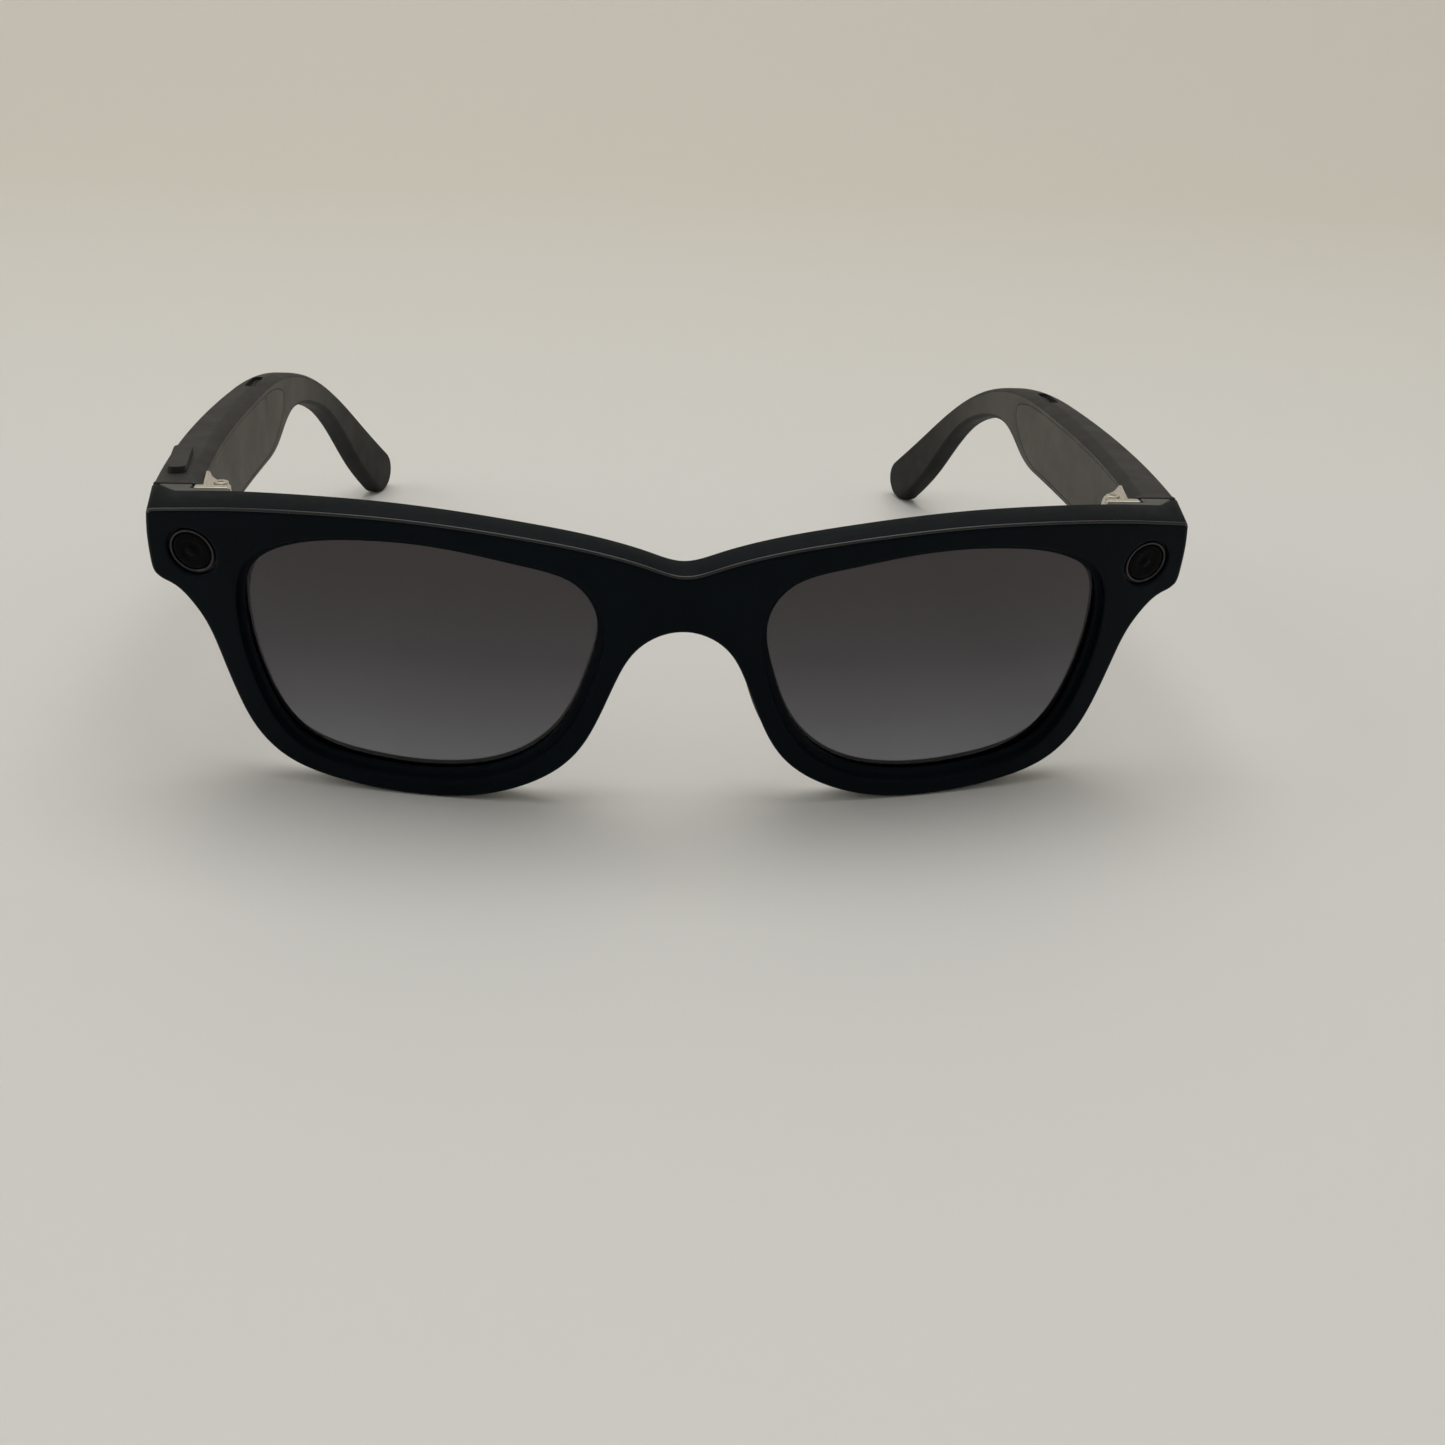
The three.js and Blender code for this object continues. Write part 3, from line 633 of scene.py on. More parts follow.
def build_front():
    solid = Solid(near_face, rear_face, 2.4)
    outer = Loop(front_outline())
    up = smoothstep(-outer.n[:, 1], 0.25, 0.8) * (outer.p[:, 1] > 36)
    bead = [(0.54, 0), (0.49, 0.02), (0.45, 0.1), (0.41, 0.085), (0.36, 0.014), (0.28, 0),
            (0.173, 0.021), (0.082, 0.082), (0.021, 0.173), (0, 0.28), (0.014, 0.36), (0.085, 0.41),
            (0.1, 0.45), (0.02, 0.49), (0, 0.54)]
    simple, brow = [], []
    for k, (off, d) in enumerate(bead):
        turn = math.pi / 2 * k / (len(bead) - 1)
        simple.append((0.62 * (1 - math.sin(turn)), "n", 0.62 * (1 - math.cos(turn))))
        brow.append((off, "n", d))
    round_back = 0.65 - 0.35 * up
    back = [(round_back * (1 - math.cos(t)), "f", round_back * (1 - math.sin(t)))
            for t in np.linspace(0, math.pi / 2, 6)]
    polished = (up > 0.5).astype(int).tolist()
    solid.wall(outer, [(1.1, "n", 0)] + mixed(simple, brow, up) + back + [(1.2, "f", 0)],
               looks=lambda band: polished if 4 <= band <= 11 else [0] * len(polished))
    lip = spline(LENS_LIP, 0.8, closed=True)
    step = LIP_STEP
    seat = LENS_GRIP + 0.15
    opening = [(step + 0.7, "n", 0), (step + 0.3, "n", 0), (step + 0.18, "n", 0.02),
               (step + 0.08, "n", 0.08),
               (step + 0.02, "n", 0.17), (step, "n", 0.3), (step, "n", LIP_DEPTH - 0.15),
               (step - 0.05, "n", LIP_DEPTH - 0.04), (step - 0.16, "n", LIP_DEPTH),
               (0.3, "n", LIP_DEPTH), (0.14, "n", LIP_DEPTH + 0.03), (0.03, "n", LIP_DEPTH + 0.13),
               (0, "n", LIP_DEPTH + 0.3), (0, "n", LENS_DEPTH - 0.12), (seat, "n", LENS_DEPTH - 0.12),
               (seat, "n", LENS_DEPTH + LENS_THICKNESS + 0.12),
               (0, "n", LENS_DEPTH + LENS_THICKNESS + 0.12),
               (0, "f", 0.7), (0.06, "f", 0.42), (0.2, "f", 0.18), (0.4, "f", 0.05), (0.7, "f", 0)]
    window = [(0.8, "n", 0), (0.34, "n", 0), (0.2, "n", 0.03), (0.08, "n", 0.12),
              (0.02, "n", 0.22), (0, "n", 0.35),
              (0, "n", 4.6)]
    for sign in (1, -1):
        solid.wall(Loop(lip * (sign, 1), hole=True), opening)
        solid.wall(Loop(circle(sign * WINDOW_X, WINDOW_Z, WINDOW_HOLE), hole=True), window, blind="n")
    pocket = [(0, "f", 0.75), (0, "f", 0.2), (0.05, "f", 0.07), (0.2, "f", 0)]
    for x, half_x, half_z in ((3.4, 1.6, 1.22), (-3.4, 1.6, 1.22), (0, 1.15, 0.95)):
        outline = rounded([(x - half_x, 33.6 - half_z), (x + half_x, 33.6 - half_z),
                           (x + half_x, 33.6 + half_z), (x - half_x, 33.6 + half_z)], 0.45, 0.2)
        solid.wall(Loop(outline, hole=True), pocket, blind="f")
    v, f = solid.close()
    # the ends spread a little towards the temples
    x, depth = v[:, 0], v[:, 2] - face_y(v[:, 0])
    v[:, 0] += np.sign(x) * 1.05 * smoothstep(np.abs(x), 72.2, 74.2) * np.clip(depth / 8.9, 0, 1)
    make("front_shell", mapped(v, f, front_point), FRONT, "front",
         [front_nylon, front_edge], ["front_frame"], looks=solid.m)


def build_nose_pad(side, mirror):
    """A soft ridge behind the rim's inner edge that swells towards its lower end."""
    path = spline([(17.6, 6.4), (14.9, 10.6), (12.6, 15.6), (10.6, 20.6), (8.9, 24.4)], 0.5)
    s = np.linspace(0, 1, len(path))
    tangent = np.gradient(path, axis=0)
    tangent /= np.linalg.norm(tangent, axis=1)[:, None]
    out = np.stack([tangent[:, 1], -tangent[:, 0]], 1)
    v, f, rings = [], [], []
    count = 28
    for i, (p, o) in enumerate(zip(path, out)):
        fade = math.sin(math.pi * min(1, max(0, (s[i] * 0.96 + 0.02)))) ** 0.55
        half = 1.7 * fade + 0.12
        height = (3.5 - 1.1 * s[i]) * fade + 0.05
        base = face_y(p[0]) + BRIDGE_DEPTH - 1.4
        ring = []
        for k in range(count):
            a = 2 * math.pi * k / count
            c, q = math.cos(a), math.sin(a)
            x = half * math.copysign(abs(c) ** 0.8, c)
            y = 1.4 + (height if q > 0 else 1.4) * math.copysign(abs(q) ** 0.9, q)
            lean_in = 0.35 * max(0, y - 1.4)
            ring.append(len(v))
            q2 = p + o * (x + 0.2) + o * lean_in * 0.3
            v.append((q2[0], base + y, q2[1]))
        rings.append(ring)
    for a, b in zip(rings, rings[1:]):
        for k in range(count):
            f.append([a[k], a[(k + 1) % count], b[(k + 1) % count], b[k]])
    f.append(rings[0][::-1])
    f.append(rings[-1])
    make(f"nose_pad_{side}", (np.array(v), f), FRONT, "front", pad_nylon, mirror=mirror)


def sheet_solid(depth0, depth1, grid):
    return Solid(lambda xy: face_y(xy[:, 0]) + depth0, lambda xy: face_y(xy[:, 0]) + depth1, grid)


def build_lens(side, mirror):
    solid = sheet_solid(LENS_DEPTH, LENS_DEPTH + LENS_THICKNESS, 2.0)
    lip = Loop(spline(LENS_LIP, 0.8, closed=True), hole=True)
    outer = Loop(lip.p + lip.n * LENS_GRIP)
    solid.wall(outer, [(0.7, "n", 0), (0.25, "n", 0), (0.07, "n", 0.07), (0, "n", 0.25), (0, "f", 0.25),
                       (0.07, "f", 0.07), (0.25, "f", 0), (0.7, "f", 0)])
    v, f = solid.close()
    make(f"lens_{side}", mapped(v, f, front_point), FRONT, "front", lens_tint,
         [f"lens_{side}"], mirror)


def build_window(kind, mirror):
    """Cover glass, thin ring, gasket, and the barrel and lens element behind the glass."""
    face = face_y(WINDOW_X)
    slope = WINDOW_X / FACE_RADIUS

    def turned(mesh):
        """Turned profile (radius, depth) stood on the sloping face."""
        v, f = mesh
        x, z, depth = v[:, 0], v[:, 1], v[:, 2]
        return np.stack([WINDOW_X + x, face + depth + slope * x, WINDOW_Z + z], 1), f

    pupil = 0.78 if kind == "led" else 0.62
    glass = [(0, 1.35), (2.7, 1.35), (2.75, 1.3), (2.75, 0.62), (2.71, 0.52), (2.6, 0.46), (2.3, 0.43),
             (1.6, 0.42), (1.5, 0.45), (1.4, 0.47), (pupil + 0.1, 0.49), (pupil, 0.46), (pupil * 0.8, 0.38),
             (pupil * 0.5, 0.31), (pupil * 0.25, 0.275), (0, 0.265)]
    make(f"{kind}_glass", turned(lathe(glass, n=64)), FRONT, "front", window_glass,
         [f"{kind}_window"], mirror)
    rg = WINDOW_GLASS + 0.1
    middle, half = (WINDOW_RING + rg) / 2, (WINDOW_RING - rg) / 2
    crown = [(middle + half * math.cos(t), 0.53 - 0.24 * math.sin(t)) for t in np.linspace(0, math.pi, 11)]
    ring = [(rg, 1.5), (WINDOW_RING, 1.5)] + crown + [(rg, 1.5)]
    make(f"{kind}_ring", turned(lathe(ring, n=64)), FRONT, "front", ring_metal,
         [f"{kind}_trim"], mirror)
    gasket = [(WINDOW_RING + 0.02, 1.9), (WINDOW_HOLE - 0.02, 1.9), (WINDOW_HOLE - 0.02, 0.95),
              (WINDOW_RING + 0.02, 0.95), (WINDOW_RING + 0.02, 1.9)]
    make(f"{kind}_gasket", turned(lathe(gasket, n=64)), FRONT, "front", black_plastic,
         mirror=mirror)
    if kind == "camera":
        barrel = [(0, 4.5), (2.35, 4.5), (2.35, 1.95), (2.3, 1.9), (1.95, 1.9), (1.9, 2.0), (1.85, 2.3),
                  (1.6, 2.3), (1.55, 2.4), (1.5, 2.7), (1.25, 2.7), (1.2, 2.8), (1.15, 3.0), (0, 3.0)]
        element = [(0, 3.0), (1.0, 3.0), (1.05, 2.9), (0.8, 2.72), (0.45, 2.62), (0, 2.58)]
    else:
        barrel = [(0, 4.5), (2.35, 4.5), (2.35, 1.95), (2.3, 1.9), (1.6, 1.9), (1.55, 1.95), (1.1, 2.9),
                  (1.0, 3.0), (0, 3.0)]
        element = [(0, 3.0), (0.75, 3.0), (0.78, 2.9), (0.6, 2.72), (0.35, 2.62), (0, 2.58)]
    make(f"{kind}_barrel", turned(lathe(barrel, n=64)), FRONT, "front", barrel_black,
         [f"{kind}_module"], mirror, sharp=30)
    make(f"{kind}_element", turned(lathe(element, n=48)), FRONT, "front", lens_element,
         mirror=mirror)


def build_contacts():
    for side, sign in (("left", 1), ("right", -1)):
        x = sign * 3.4
        outline = rounded([(x - 1.4, 32.6), (x + 1.4, 32.6), (x + 1.4, 34.6), (x - 1.4, 34.6)], 0.35, 0.2)
        solid = Solid(lambda xy: face_y(xy[:, 0]) + BRIDGE_DEPTH - 0.7,
                      lambda xy: np.full(len(xy), BRIDGE_DEPTH + 0.1), 0.6)
        solid.wall(Loop(outline), [(0, "n", 0), (0, "f", 0.18), (0.05, "f", 0.05), (0.18, "f", 0)])
        v, f = solid.close()
        make(f"charge_pad_{side}", mapped(v, f, front_point), FRONT, "front", gold,
             [f"charge_contact_{side}"])
    outline = rounded([(-0.95, 32.85), (0.95, 32.85), (0.95, 34.35), (-0.95, 34.35)], 0.3, 0.2)
    solid = Solid(lambda xy: np.full(len(xy), BRIDGE_DEPTH - 0.7),
                  lambda xy: np.full(len(xy), BRIDGE_DEPTH - 0.2), 0.6)
    solid.wall(Loop(outline), [(0, "n", 0), (0, "f", 0.12), (0.12, "f", 0)])
    solid.wall(Loop(circle(0, 33.6, 0.28, 20), hole=True), [(0, "f", 0.35), (0, "f", 0)], blind="f")
    v, f = solid.close()
    make("bridge_mic_can", mapped(v, f, front_point), FRONT, "front", foil,
         ["bridge_microphone"])


def build_block(side, mirror):
    """Wedge behind the endpiece, seen from above: curved in front, flat behind, notched for the hinge."""
    gap = 0.12
    xs = np.linspace(64.0, 74.3, 22)
    front_edge = [(x, float(face_y(x) + front_depth(x)) + gap) for x in xs]
    rear = BUTT
    corners = [line(front_edge[-1], (74.3, rear), 0.3), line((74.3, rear), (69.75, rear), 0.5),
               line((69.75, rear), (69.75, 20.75), 0.3), line((69.75, 20.75), (64.0, 20.75), 0.5),
               line((64.0, 20.75), front_edge[0], 0.4)]
    outline = joined([resample(front_edge, 0.4)] + corners, [0.12, 0.3, 0.2, 0.2, 0.4, 0.3], 4)

    def top(xw):
        return (BLOCK_TOP - xw[:, 1] * math.sin(FRONT_TILT)) / math.cos(FRONT_TILT)

    solid = Solid(lambda xw: np.full(len(xw), 31.5), top, 1.2)
    bevel = [(0.1, "f", 0), (0.06, "f", 0.02), (0.02, "f", 0.06), (0, "f", 0.12)]
    solid.wall(Loop(outline), [(0.1, "n", 0), (0, "n", 0.12)] + bevel[::-1])
    v, f = solid.close()
    make(f"endpiece_{side}", mapped(v, f, lambda x, w, z: (x, w, z)), FRONT, "front",
         block_nylon, [f"endpiece_block_{side}"], mirror)


# ---------- hinges ----------
def boxed(x, y, z, bevel=0.12):
    """Box with rounded vertical edges and bevelled top and bottom."""
    outline = rounded([(x[0], y[0]), (x[1], y[0]), (x[1], y[1]), (x[0], y[1])], bevel * 1.5, 0.25, 4)
    solid = Solid(lambda q: np.full(len(q), z[0]), lambda q: np.full(len(q), z[1]), 1.0)
    solid.wall(Loop(outline), arc(bevel, "n", 3) + arc(bevel, "f", 3, wall_first=True))
    v, f = solid.close()
    return v, f


def turned_knuckle(x, y, r, z0, z1):
    b = 0.14
    return lathe([(0, z0), (r - b, z0), (r - b * 0.3, z0 + b * 0.3), (r, z0 + b), (r, z1 - b),
                  (r - b * 0.3, z1 - b * 0.3), (r - b, z1), (0, z1)], x, y)


def build_hinge(side, mirror):
    x, y = HINGE.x, HINGE.y
    flange = boxed((64.6, 69.4), (15.0, 16.5), (34.2, BLOCK_TOP))
    parts = [flange]
    for low, high in (KNUCKLES["top"], KNUCKLES["bottom"]):
        parts.append(boxed((65.4, 67.0), (15.4, y), (low, high), 0.1))
        parts.append(turned_knuckle(x, y, 1.3, low, high))
    make(f"hinge_front_{side}", merge(*parts), GLASSES, "front", champagne,
         [f"hinge_leaf_front_{side}"], mirror)
    head = lathe([(0, 33.8), (0.6, 33.8), (0.6, 43.2), (1.02, 43.2), (1.05, 43.3), (1.05, 43.62),
                  (1.0, 43.72), (0.86, 43.78), (0.5, 43.8), (0.45, 43.74), (0.45, 43.5), (0, 43.5)], x, y)
    make(f"hinge_screw_{side}", head, GLASSES, "front", champagne,
         [f"hinge_pin_{side}"], mirror, sharp=30)

    body = f"temple_{side}"
    low, high = (k - ROOT.z for k in KNUCKLES["middle"])
    hx, hy = x - ROOT.x, y - ROOT.y
    outline = rounded([(3.2, -1.5), (7.5, -1.0), (10.6, -0.55), (16.2, -4.4), (16.6, -8.6), (13, -10),
                       (4.7, -9.4)],
                      [0.5, 1.0, 0.25, 1.5, 1.5, 1.5, 0.6], 0.3)
    solid = Solid(lambda q: thickness(q[:, 0]) + 0.05,
                  lambda q: thickness(q[:, 0]) + 0.55 + 0.95 * smoothstep(-q[:, 1], 1.8, 3.9), 0.8)
    solid.wall(Loop(outline), [(0, "n", 0)] + arc(0.22, "f", 4, wall_first=True))
    screw = [(0, "n", 1.0), (0, "f", 0.14), (0.06, "f", 0.04), (0.2, "f", 0)]
    for at in ((7.6, -5.0), (13.0, -6.4)):
        solid.wall(Loop(circle(*at, 1.02, 32), hole=True), [(0, "f", 0.7)] + screw[1:], blind="f")
    v, f = solid.close()
    leaf = mapped(v, f, temple_point)
    arm = boxed((hx, hx + 1.5), (hy, hy + 1.4), (low, high), 0.1)
    knuckle = turned_knuckle(hx, hy, 1.3, low, high)
    make(f"hinge_leaf_{side}", merge(leaf, arm, knuckle), TEMPLE, body, champagne,
         [f"hinge_leaf_temple_{side}"], mirror)
    for number, (ay, az) in enumerate(((7.6, -5.0), (13.0, -6.4)), 1):
        t = float(thickness(np.array([ay]))[0])
        head = screw_head()
        hv, hf = head
        # the head's axis runs inward, along -x
        sx = float(outer_x(np.array([ay]))[0]) - t - 1.32
        hv = np.stack([sx - hv[:, 2], ay + hv[:, 0], az + hv[:, 1]], 1)
        make(f"hinge_leaf_screw{number}_{side}", (hv, hf), TEMPLE, body, champagne,
             mirror=mirror, sharp=30)


def screw_head():
    """Small countersunk head with a six-lobed socket."""
    n = 60
    v, f = [], []
    rings = []
    lobes = [1 + 0.16 * math.cos(6 * 2 * math.pi * k / n) for k in range(n)]
    stations = [(0.85, -0.5, 0), (0.88, -0.1, 0), (0.84, 0.0, 0), (0.5, 0.03, 0), (0.46, 0.0, 1),
                (0.44, -0.3, 1)]
    for r, z, lobed in stations:
        ring = []
        for k in range(n):
            a = 2 * math.pi * k / n
            rr = r * (lobes[k] if lobed else 1)
            ring.append(len(v))
            v.append((rr * math.cos(a), rr * math.sin(a), z))
        rings.append(ring)
    for a, b in zip(rings, rings[1:]):
        for k in range(n):
            f.append([a[k], a[(k + 1) % n], b[(k + 1) % n], b[k]])
    f.append(rings[0][::-1])
    f.append(rings[-1])
    return np.array(v), f


# ---------- temples ----------
def outer_x(y):
    return 0.11 * y - 16.5 * (y / 100) ** 2


THICKNESS_CURVE = spline(TEMPLE_THICKNESS, 0.5)


def thickness(y):
    return np.interp(y, THICKNESS_CURVE[:, 0], THICKNESS_CURVE[:, 1])


def temple_point(y, z, depth):
    return outer_x(y) - depth, y, z


def temple_outline():
    """Side view: returns the temple's outline."""
    along = np.array((math.cos(TEMPLE_DROP), -math.sin(TEMPLE_DROP)))
    down = np.array((-math.sin(TEMPLE_DROP), -math.cos(TEMPLE_DROP)))
    t = np.linspace(0, 1, 60)[:, None]
    p0, p3 = np.array((TEMPLE_STRAIGHT, 0)), BEND_END
    p1, p2 = p0 + (28, 0), BEND_END - along * 21
    bend = (1 - t) ** 3 * p0 + 3 * t * (1 - t) ** 2 * p1 + 3 * t * t * (1 - t) * p2 + t ** 3 * p3
    top_end = BEND_END + along * 17.9
    centre = top_end + down * TIP_RADIUS
    angles = math.pi / 2 - TEMPLE_DROP - np.linspace(0, math.pi, 40)
    tip = centre + TIP_RADIUS * np.stack([np.cos(angles), np.sin(angles)], 1)
    top = resample(np.vstack([[(TEMPLE_START, 0)], bend, tip]), 0.8)
    under = spline([tuple(tip[-1])] + UNDER_BEND, 0.8)
    under = np.vstack([top[-1:], under[1:]])
    belly = resample(rounded_line([(66, -TEMPLE_HEIGHT), (30, -TEMPLE_HEIGHT), (15, -12.8),
                                   (TEMPLE_START + 1.63, -11.2)], 4.0), 0.8)
    butt = line((TEMPLE_START + 1.63, -11.2), (TEMPLE_START, 0), 0.5)
    top_under = np.vstack([top, under[1:]])
    return joined([top_under, belly, butt], [3.0, 0.8, 0.35])


def rounded_line(points, radius):
    """Open polyline with its inner corners rounded off."""
    points = [np.array(p, float) for p in points]
    out = [points[0]]
    for before, corner, after in zip(points, points[1:], points[2:]):
        a = corner + (before - corner) / np.linalg.norm(before - corner) * radius
        b = corner + (after - corner) / np.linalg.norm(after - corner) * radius
        for t in np.linspace(0, 1, 9):
            out.append((1 - t) ** 2 * a + 2 * t * (1 - t) * corner + t * t * b)
    return np.array(out + [points[-1]])


def cover_loop(grow=0.0):
    outline = rounded(COVER_OUTLINE, [1.2, 6, 4, 2.0, 2.0, 3, 4, 4, 3, 1.5], 0.6)
    loop = Loop(outline, hole=True)
    return loop.p + loop.n * grow


def build_temple(side, mirror):
    body = f"temple_{side}"
    solid = Solid(lambda q: np.zeros(len(q)), lambda q: thickness(q[:, 0]), 3.0)
    outer = Loop(temple_outline())
    y = outer.p[:, 0]
    corners = [np.array((TEMPLE_START, 0)), np.array((TEMPLE_START + 1.63, -11.2))]
    near_end = np.min([np.linalg.norm(outer.p - c, axis=1) for c in corners], axis=0)
    on_butt = (outer.n[:, 0] > 0.9) & (y < 5)
    limit = np.where(on_butt, 0.22, 0.22 + 0.4 * near_end)
    up = smoothstep(-outer.n[:, 1], 0.3, 0.9)
    r_out = np.minimum(np.where(up > 0.5, 0.75, 1.1), limit)
    r_out = np.minimum(r_out, thickness(y) * 0.36)
    r_in = np.minimum(np.minimum(1.0, thickness(y) * 0.36), limit)
    chamfer = up * (1 - smoothstep(y, 70, 96))
    cw = np.minimum(np.interp(y, [2, 20, 39, 57, 90], [1.4, 1.6, 2.1, 2.6, 2.2]), 0.3 + limit * 2.5)
    ch = np.minimum(np.interp(y, [2, 12, 30, 60], [1.0, 1.0, 0.85, 0.8]), 0.1 + limit * 1.2)
    profile = []
    for k in range(7):
        a = math.pi / 2 * k / 6
        profile.append((r_out * (1 - math.sin(a)), "n", r_out * (1 - math.cos(a))))
    angles = np.radians([90, 74, 58, 42, 28, 14, 0])
    flat = [(0 * cw, cw + 0.25), (0.03 + 0 * cw, cw + 0.04), (ch * 0.14, cw * 0.86), (ch * 0.5, cw * 0.5),
            (ch * 0.86, cw * 0.12), (ch + 0.05, 0.02 + 0 * cw), (ch + 0.3, 0 * cw)]
    for a, (off, d) in zip(angles, flat):
        arc_off, arc_d = r_in * (1 - np.sin(a)), r_in * (1 - np.cos(a))
        profile.append(((1 - chamfer) * arc_off + chamfer * off, "f", (1 - chamfer) * arc_d + chamfer * d))
    # The chamfer bands take the darker edge material, which paints shade onto the strip.
    bevelled = np.where(chamfer > 0.35, 2, 0).tolist()
    inner = [1] * len(bevelled)

    def look_of(band):
        if band < 7:
            return [0] * len(bevelled)
        return bevelled if band < 12 else inner

    solid.look["f"] = 1
    solid.wall(outer, profile, looks=look_of)
    seat = Loop(cover_loop(0.05), hole=True)
    room = -1.3
    solid.wall(seat, [(room, "n", SHELL_WALL), (room, "f", COVER + 0.05), (0, "f", COVER + 0.05),
                      (0, "f", 0.08), (0.025, "f", 0.025), (0.08, "f", 0)], blind="f")
    v, f = solid.close()
    shell = make(f"temple_body_{side}", mapped(v, f, temple_point), TEMPLE, None,
                 [temple_nylon, cover_nylon, shaded_temple_edge], mirror=mirror, looks=solid.m)
    gx = float(outer_x(GRILLE["y"])) - GRILLE["inward"]
    mouth = capsule(gx, GRILLE["y"], GRILLE["length"] + 0.3, GRILLE["width"] + 0.3, True)
    cutters = [cutter(mouth, -2.3, mirror)]
    if mirror:
        bx = float(outer_x(BUTTON["y"])) - BUTTON["inward"]
        cutters.append(cutter(bar(bx, 0.2), -3.6, mirror))
    carve(shell, cutters)
    finish_piece(shell, body, [f"temple_shell_{side}"])

    plate = Solid(lambda q: thickness(q[:, 0]) - COVER, lambda q: thickness(q[:, 0]), 3.0)
    plate.wall(Loop(cover_loop()), [(0, "n", 0), (0, "f", 0.08), (0.025, "f", 0.025), (0.08, "f", 0)])
    if not mirror:
        hole = capsule(SWITCH["y"] + SWITCH["travel"] / 2, SWITCH["z"], 6.2, 2.4)
        plate.wall(Loop(hole, hole=True), [(0, "n", 0), (0, "f", 0.2), (0.06, "f", 0.06), (0.2, "f", 0)])
    v, f = plate.close()
    make(f"temple_panel_{side}", mapped(v, f, temple_point), TEMPLE, body, cover_nylon,
         [f"temple_cover_{side}"], mirror)
    build_grille(side, mirror, gx)


def cutter(outline, bottom, mirror):
    """Upright cutter whose mouth flares a little, so that it leaves a small chamfer."""
    solid = Solid(lambda q: np.full(len(q), bottom), lambda q: np.full(len(q), 1.0), 3.0)
    solid.wall(Loop(outline), [(0, "n", 0), (0, "n", -bottom - 0.14), (-0.16, "n", -bottom + 0.02),
                               (-0.16, "f", 0)])
    v, f = solid.close()
    return make("cutter", (v, f), TEMPLE, None, black_plastic, mirror=mirror)


def build_grille(side, mirror, gx):
    """Perforated plate a little below the temple's top face."""
    solid = Solid(lambda q: np.full(len(q), -2.0), lambda q: np.full(len(q), -1.0), 0.8)
    outline = capsule(gx, GRILLE["y"], GRILLE["length"], GRILLE["width"], True)
    solid.wall(Loop(outline), [(0, "n", 0), (0, "f", 0.1), (0.1, "f", 0)])
    for row, count in ((-0.38, 10), (0, 11), (0.38, 10)):
        for i in range(count):
            at = GRILLE["y"] + (i - (count - 1) / 2) * 0.72
            solid.wall(Loop(circle(gx + row, at, 0.16, 12), hole=True), [(0, "n", 0), (0, "f", 0)])
    v, f = solid.close()
    make(f"grille_{side}", (v, f), TEMPLE, f"temple_{side}", black_plastic,
         [f"speaker_grille_{side}"], mirror)


def bar(x, grow=0.0):
    """Outline of the capture button, a bar with softly rounded ends."""
    side_gap, end_gap, corner, lean = 0.3, 0.1, 0.85, 7
    a, b = BUTTON["width"] / 2 - side_gap + grow, BUTTON["length"] / 2 - end_gap + grow
    turn = math.radians(lean)
    corners = [(x + p * math.cos(turn) + q * math.sin(turn),
                BUTTON["y"] + q * math.cos(turn) - p * math.sin(turn))
               for p, q in ((-a, -b), (a, -b), (a, b), (-a, b))]
    return rounded(corners, corner + grow, 0.35)


def build_controls():
    """Capture button on the right temple, power switch inside the left one."""
    bx = float(outer_x(BUTTON["y"])) - BUTTON["inward"]
    top = BUTTON["travel"]
    skirt = 2.0     # short enough to clear the temple when the button is pressed
    solid = Solid(lambda q: np.full(len(q), top - skirt), lambda q: np.full(len(q), top), 0.9)
    outline = bar(bx)
    edge = [(0, "f", 0.5), (0.03, "f", 0.28), (0.1, "f", 0.14), (0.22, "f", 0.05), (0.42, "f", 0.01),
            (0.7, "f", 0)]
    solid.wall(Loop(outline), [(0, "n", 0)] + edge)
    v, f = solid.close()
    make("capture_key", (v, f), TEMPLE, "capture_button", button_plastic,
         ["capture_button"], mirror=True)

    solid = Solid(lambda q: np.full(len(q), 3.9), lambda q: np.full(len(q), 7.2), 0.5)
    solid.wall(Loop(capsule(SWITCH["y"], SWITCH["z"], 3.6, 1.9, False, 10)),
               [(0, "n", 0), (0, "f", 0.3), (0.08, "f", 0.1), (0.26, "f", 0.0)])
    for k in (-1, 0, 1):
        slot = capsule(SWITCH["y"] + k * 0.62, SWITCH["z"], 1.2, 0.26, True, 6)
        solid.wall(Loop(slot, hole=True), [(0, "f", 0.22), (0, "f", 0)], blind="f")
    v, f = solid.close()
    make("power_knob", mapped(v, f, temple_point), TEMPLE, "power_switch",
         button_plastic, ["power_switch"])


build_front()
build_contacts()
for side, mirror in (("left", False), ("right", True)):
    build_nose_pad(side, mirror)
    build_lens(side, mirror)
    build_window("led" if mirror else "camera", mirror)
    build_block(side, mirror)
    build_hinge(side, mirror)
    build_temple(side, mirror)
build_controls()

# The electronics stay as the CAD gives them, inside the walls.
INSIDE = {
    "front_flex": copper_flex, "temple_flex_left": copper_flex, "temple_flex_right": copper_flex,
    "touch_sensor": copper_flex, "battery": foil, "processor": foil, "temple_microphone_left": foil,
    "temple_microphone_right": foil, "switch_board": solder_mask, "main_board": solder_mask,
    "speaker_left": black_plastic, "speaker_right": black_plastic, "tact_switch": black_plastic,
}
for name, material in INSIDE.items():
    cad = frame["nodes"][name]
    cad.data.materials.clear()
    cad.data.materials.append(material)


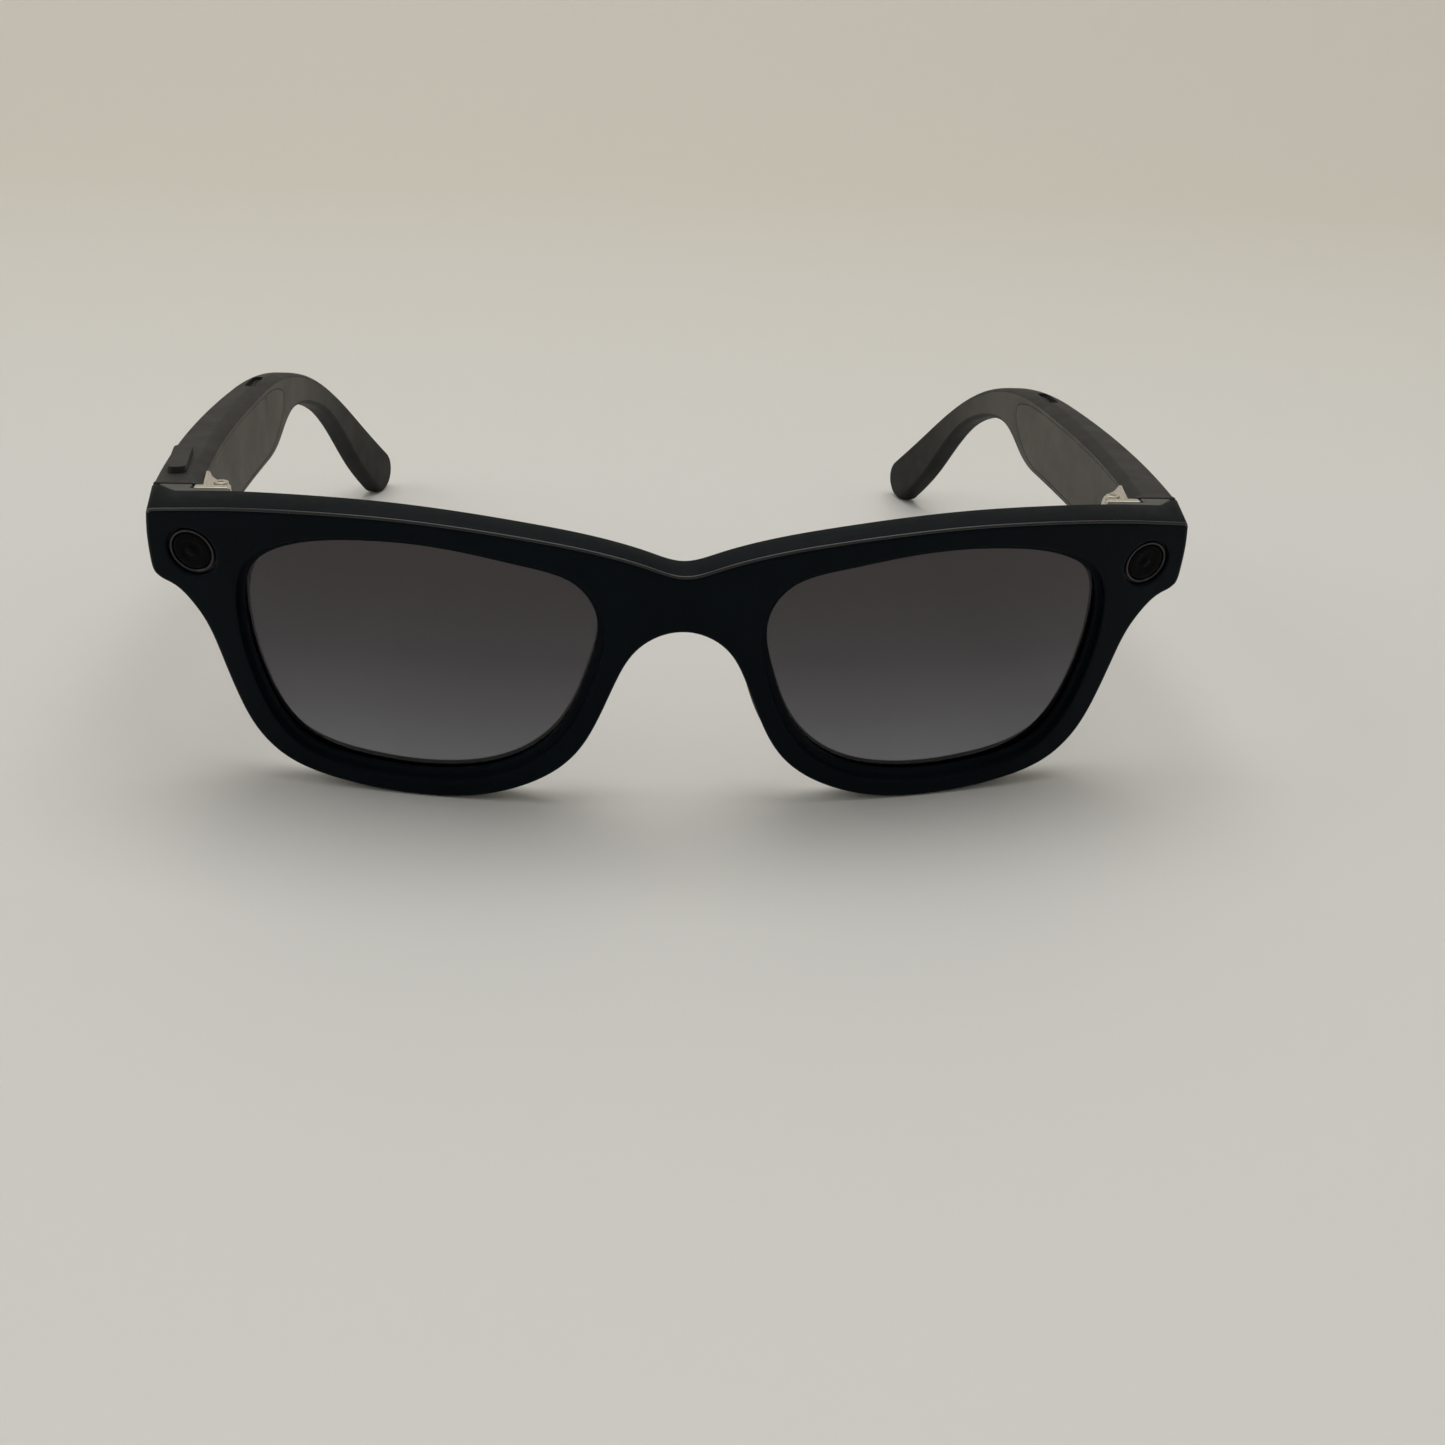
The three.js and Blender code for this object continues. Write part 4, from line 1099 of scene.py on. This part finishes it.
# ---------- stage ----------
def backdrop():
    """Pale round floor that sweeps up into a low wall all the way round the glasses."""
    middle, flat, radius, turns = -0.85, 1.4, 0.5, 96
    profile = [(0.35, 0.0), (0.7, 0.0), (1.1, 0.0), (flat, 0.0)]
    for k in range(1, 25):
        a = math.pi / 2 * k / 24
        profile.append((flat + radius * math.sin(a), radius * (1 - math.cos(a))))
    profile.append((flat + radius, 1.3))
    v, f = [(0, middle, 0.0)], []
    for r, z in profile:
        for k in range(turns):
            a = 2 * math.pi * k / turns
            v.append((r * math.cos(a), middle + r * math.sin(a), z))
    for k in range(turns):
        f.append([0, 1 + k, 1 + (k + 1) % turns])
    for i in range(len(profile) - 1):
        for k in range(turns):
            a, b = 1 + i * turns + k, 1 + i * turns + (k + 1) % turns
            f.append([a, a + turns, b + turns, b])
    data = bpy.data.meshes.new("floor")
    data.from_pydata(v, [], f)
    for polygon in data.polygons:
        polygon.use_smooth = True
    floor = bpy.data.objects.new("floor", data)
    bpy.context.scene.collection.objects.link(floor)
    material, tree, shader = nodes_of("floor_paint")
    links = tree.links
    split = tree.nodes.new("ShaderNodeSeparateXYZ")
    links.new(where(tree), split.inputs["Vector"])
    far = node(tree, "ShaderNodeMapRange")
    far.inputs["From Min"].default_value = 0.05
    far.inputs["From Max"].default_value = 0.5
    links.new(split.outputs["Y"], far.inputs["Value"])
    links.new(ramp(tree, far.outputs["Result"], [(0.0, (0.71, 0.705, 0.68)), (1.0, (0.66, 0.63, 0.565))]),
              shader.inputs["Base Color"])
    bump = node(tree, "ShaderNodeBump", Strength=0.2, Distance=0.0002)
    links.new(noise(tree, 120), bump.inputs["Height"])
    links.new(bump.outputs["Normal"], shader.inputs["Normal"])
    shader.inputs["Roughness"].default_value = 0.55
    data.materials.append(material)


backdrop()


def light(name, at, towards, size, power, colour=(1, 1, 1), size_y=None):
    data = bpy.data.lights.new(name, "AREA")
    data.shape = "RECTANGLE"
    data.size, data.size_y = size, size_y or size
    data.energy, data.color = power, colour
    lamp = bpy.data.objects.new(name, data)
    lamp.location = at
    lamp.rotation_mode = "QUATERNION"
    lamp.rotation_quaternion = (Vector(towards) - Vector(at)).to_track_quat("-Z", "Y")
    bpy.context.scene.collection.objects.link(lamp)


light("ceiling", (0.1, 0.25, 1.5), (0, 0, 0), 1.6, 11.5, (1.0, 0.985, 0.955), 1.2)
light("window_side", (-1.4, -0.1, 0.9), (0, 0.05, 0.02), 1.0, 3.5, (0.97, 0.985, 1.0), 0.8)

world = bpy.data.worlds.new("studio")
bpy.context.scene.world = world
world.use_nodes = True
tree = world.node_tree
background = tree.nodes["Background"]
split = tree.nodes.new("ShaderNodeSeparateXYZ")
tree.links.new(tree.nodes.new("ShaderNodeTexCoord").outputs["Generated"], split.inputs["Vector"])
height = node(tree, "ShaderNodeMapRange")
height.inputs["From Min"].default_value = -1.0
height.inputs["From Max"].default_value = 1.0
tree.links.new(split.outputs["Z"], height.inputs["Value"])
tree.links.new(ramp(tree, height.outputs["Result"],
                    [(0.0, (0.40, 0.39, 0.37)), (0.49, (0.80, 0.785, 0.75)), (0.62, (0.50, 0.49, 0.47)),
                     (1.0, (0.90, 0.89, 0.86))]),
               background.inputs["Color"])
background.inputs["Strength"].default_value = 0.5

# ---------- camera ----------
camera_data = bpy.data.cameras.new("camera")
camera_data.sensor_width = 36.0
camera_data.lens = 40.67
camera_data.clip_start = 0.01
camera_data.clip_end = 20
camera = bpy.data.objects.new("camera", camera_data)
bpy.context.scene.collection.objects.link(camera)
EYE = Vector((-0.01423, -0.28394, 0.1196))
forward = Vector((0.0866, 0.89147, -0.44473)).normalized()
side_axis = forward.cross(Vector((-0.0031, 0.44664, 0.89471))).normalized()
upward = side_axis.cross(forward).normalized()
turn = Matrix((side_axis, upward, -forward)).transposed()
camera.matrix_world = Matrix.Translation(EYE) @ turn.to_4x4()
bpy.context.scene.camera = camera
bpy.context.scene.view_settings.view_transform = "Standard"
bpy.context.scene.view_settings.look = "None"
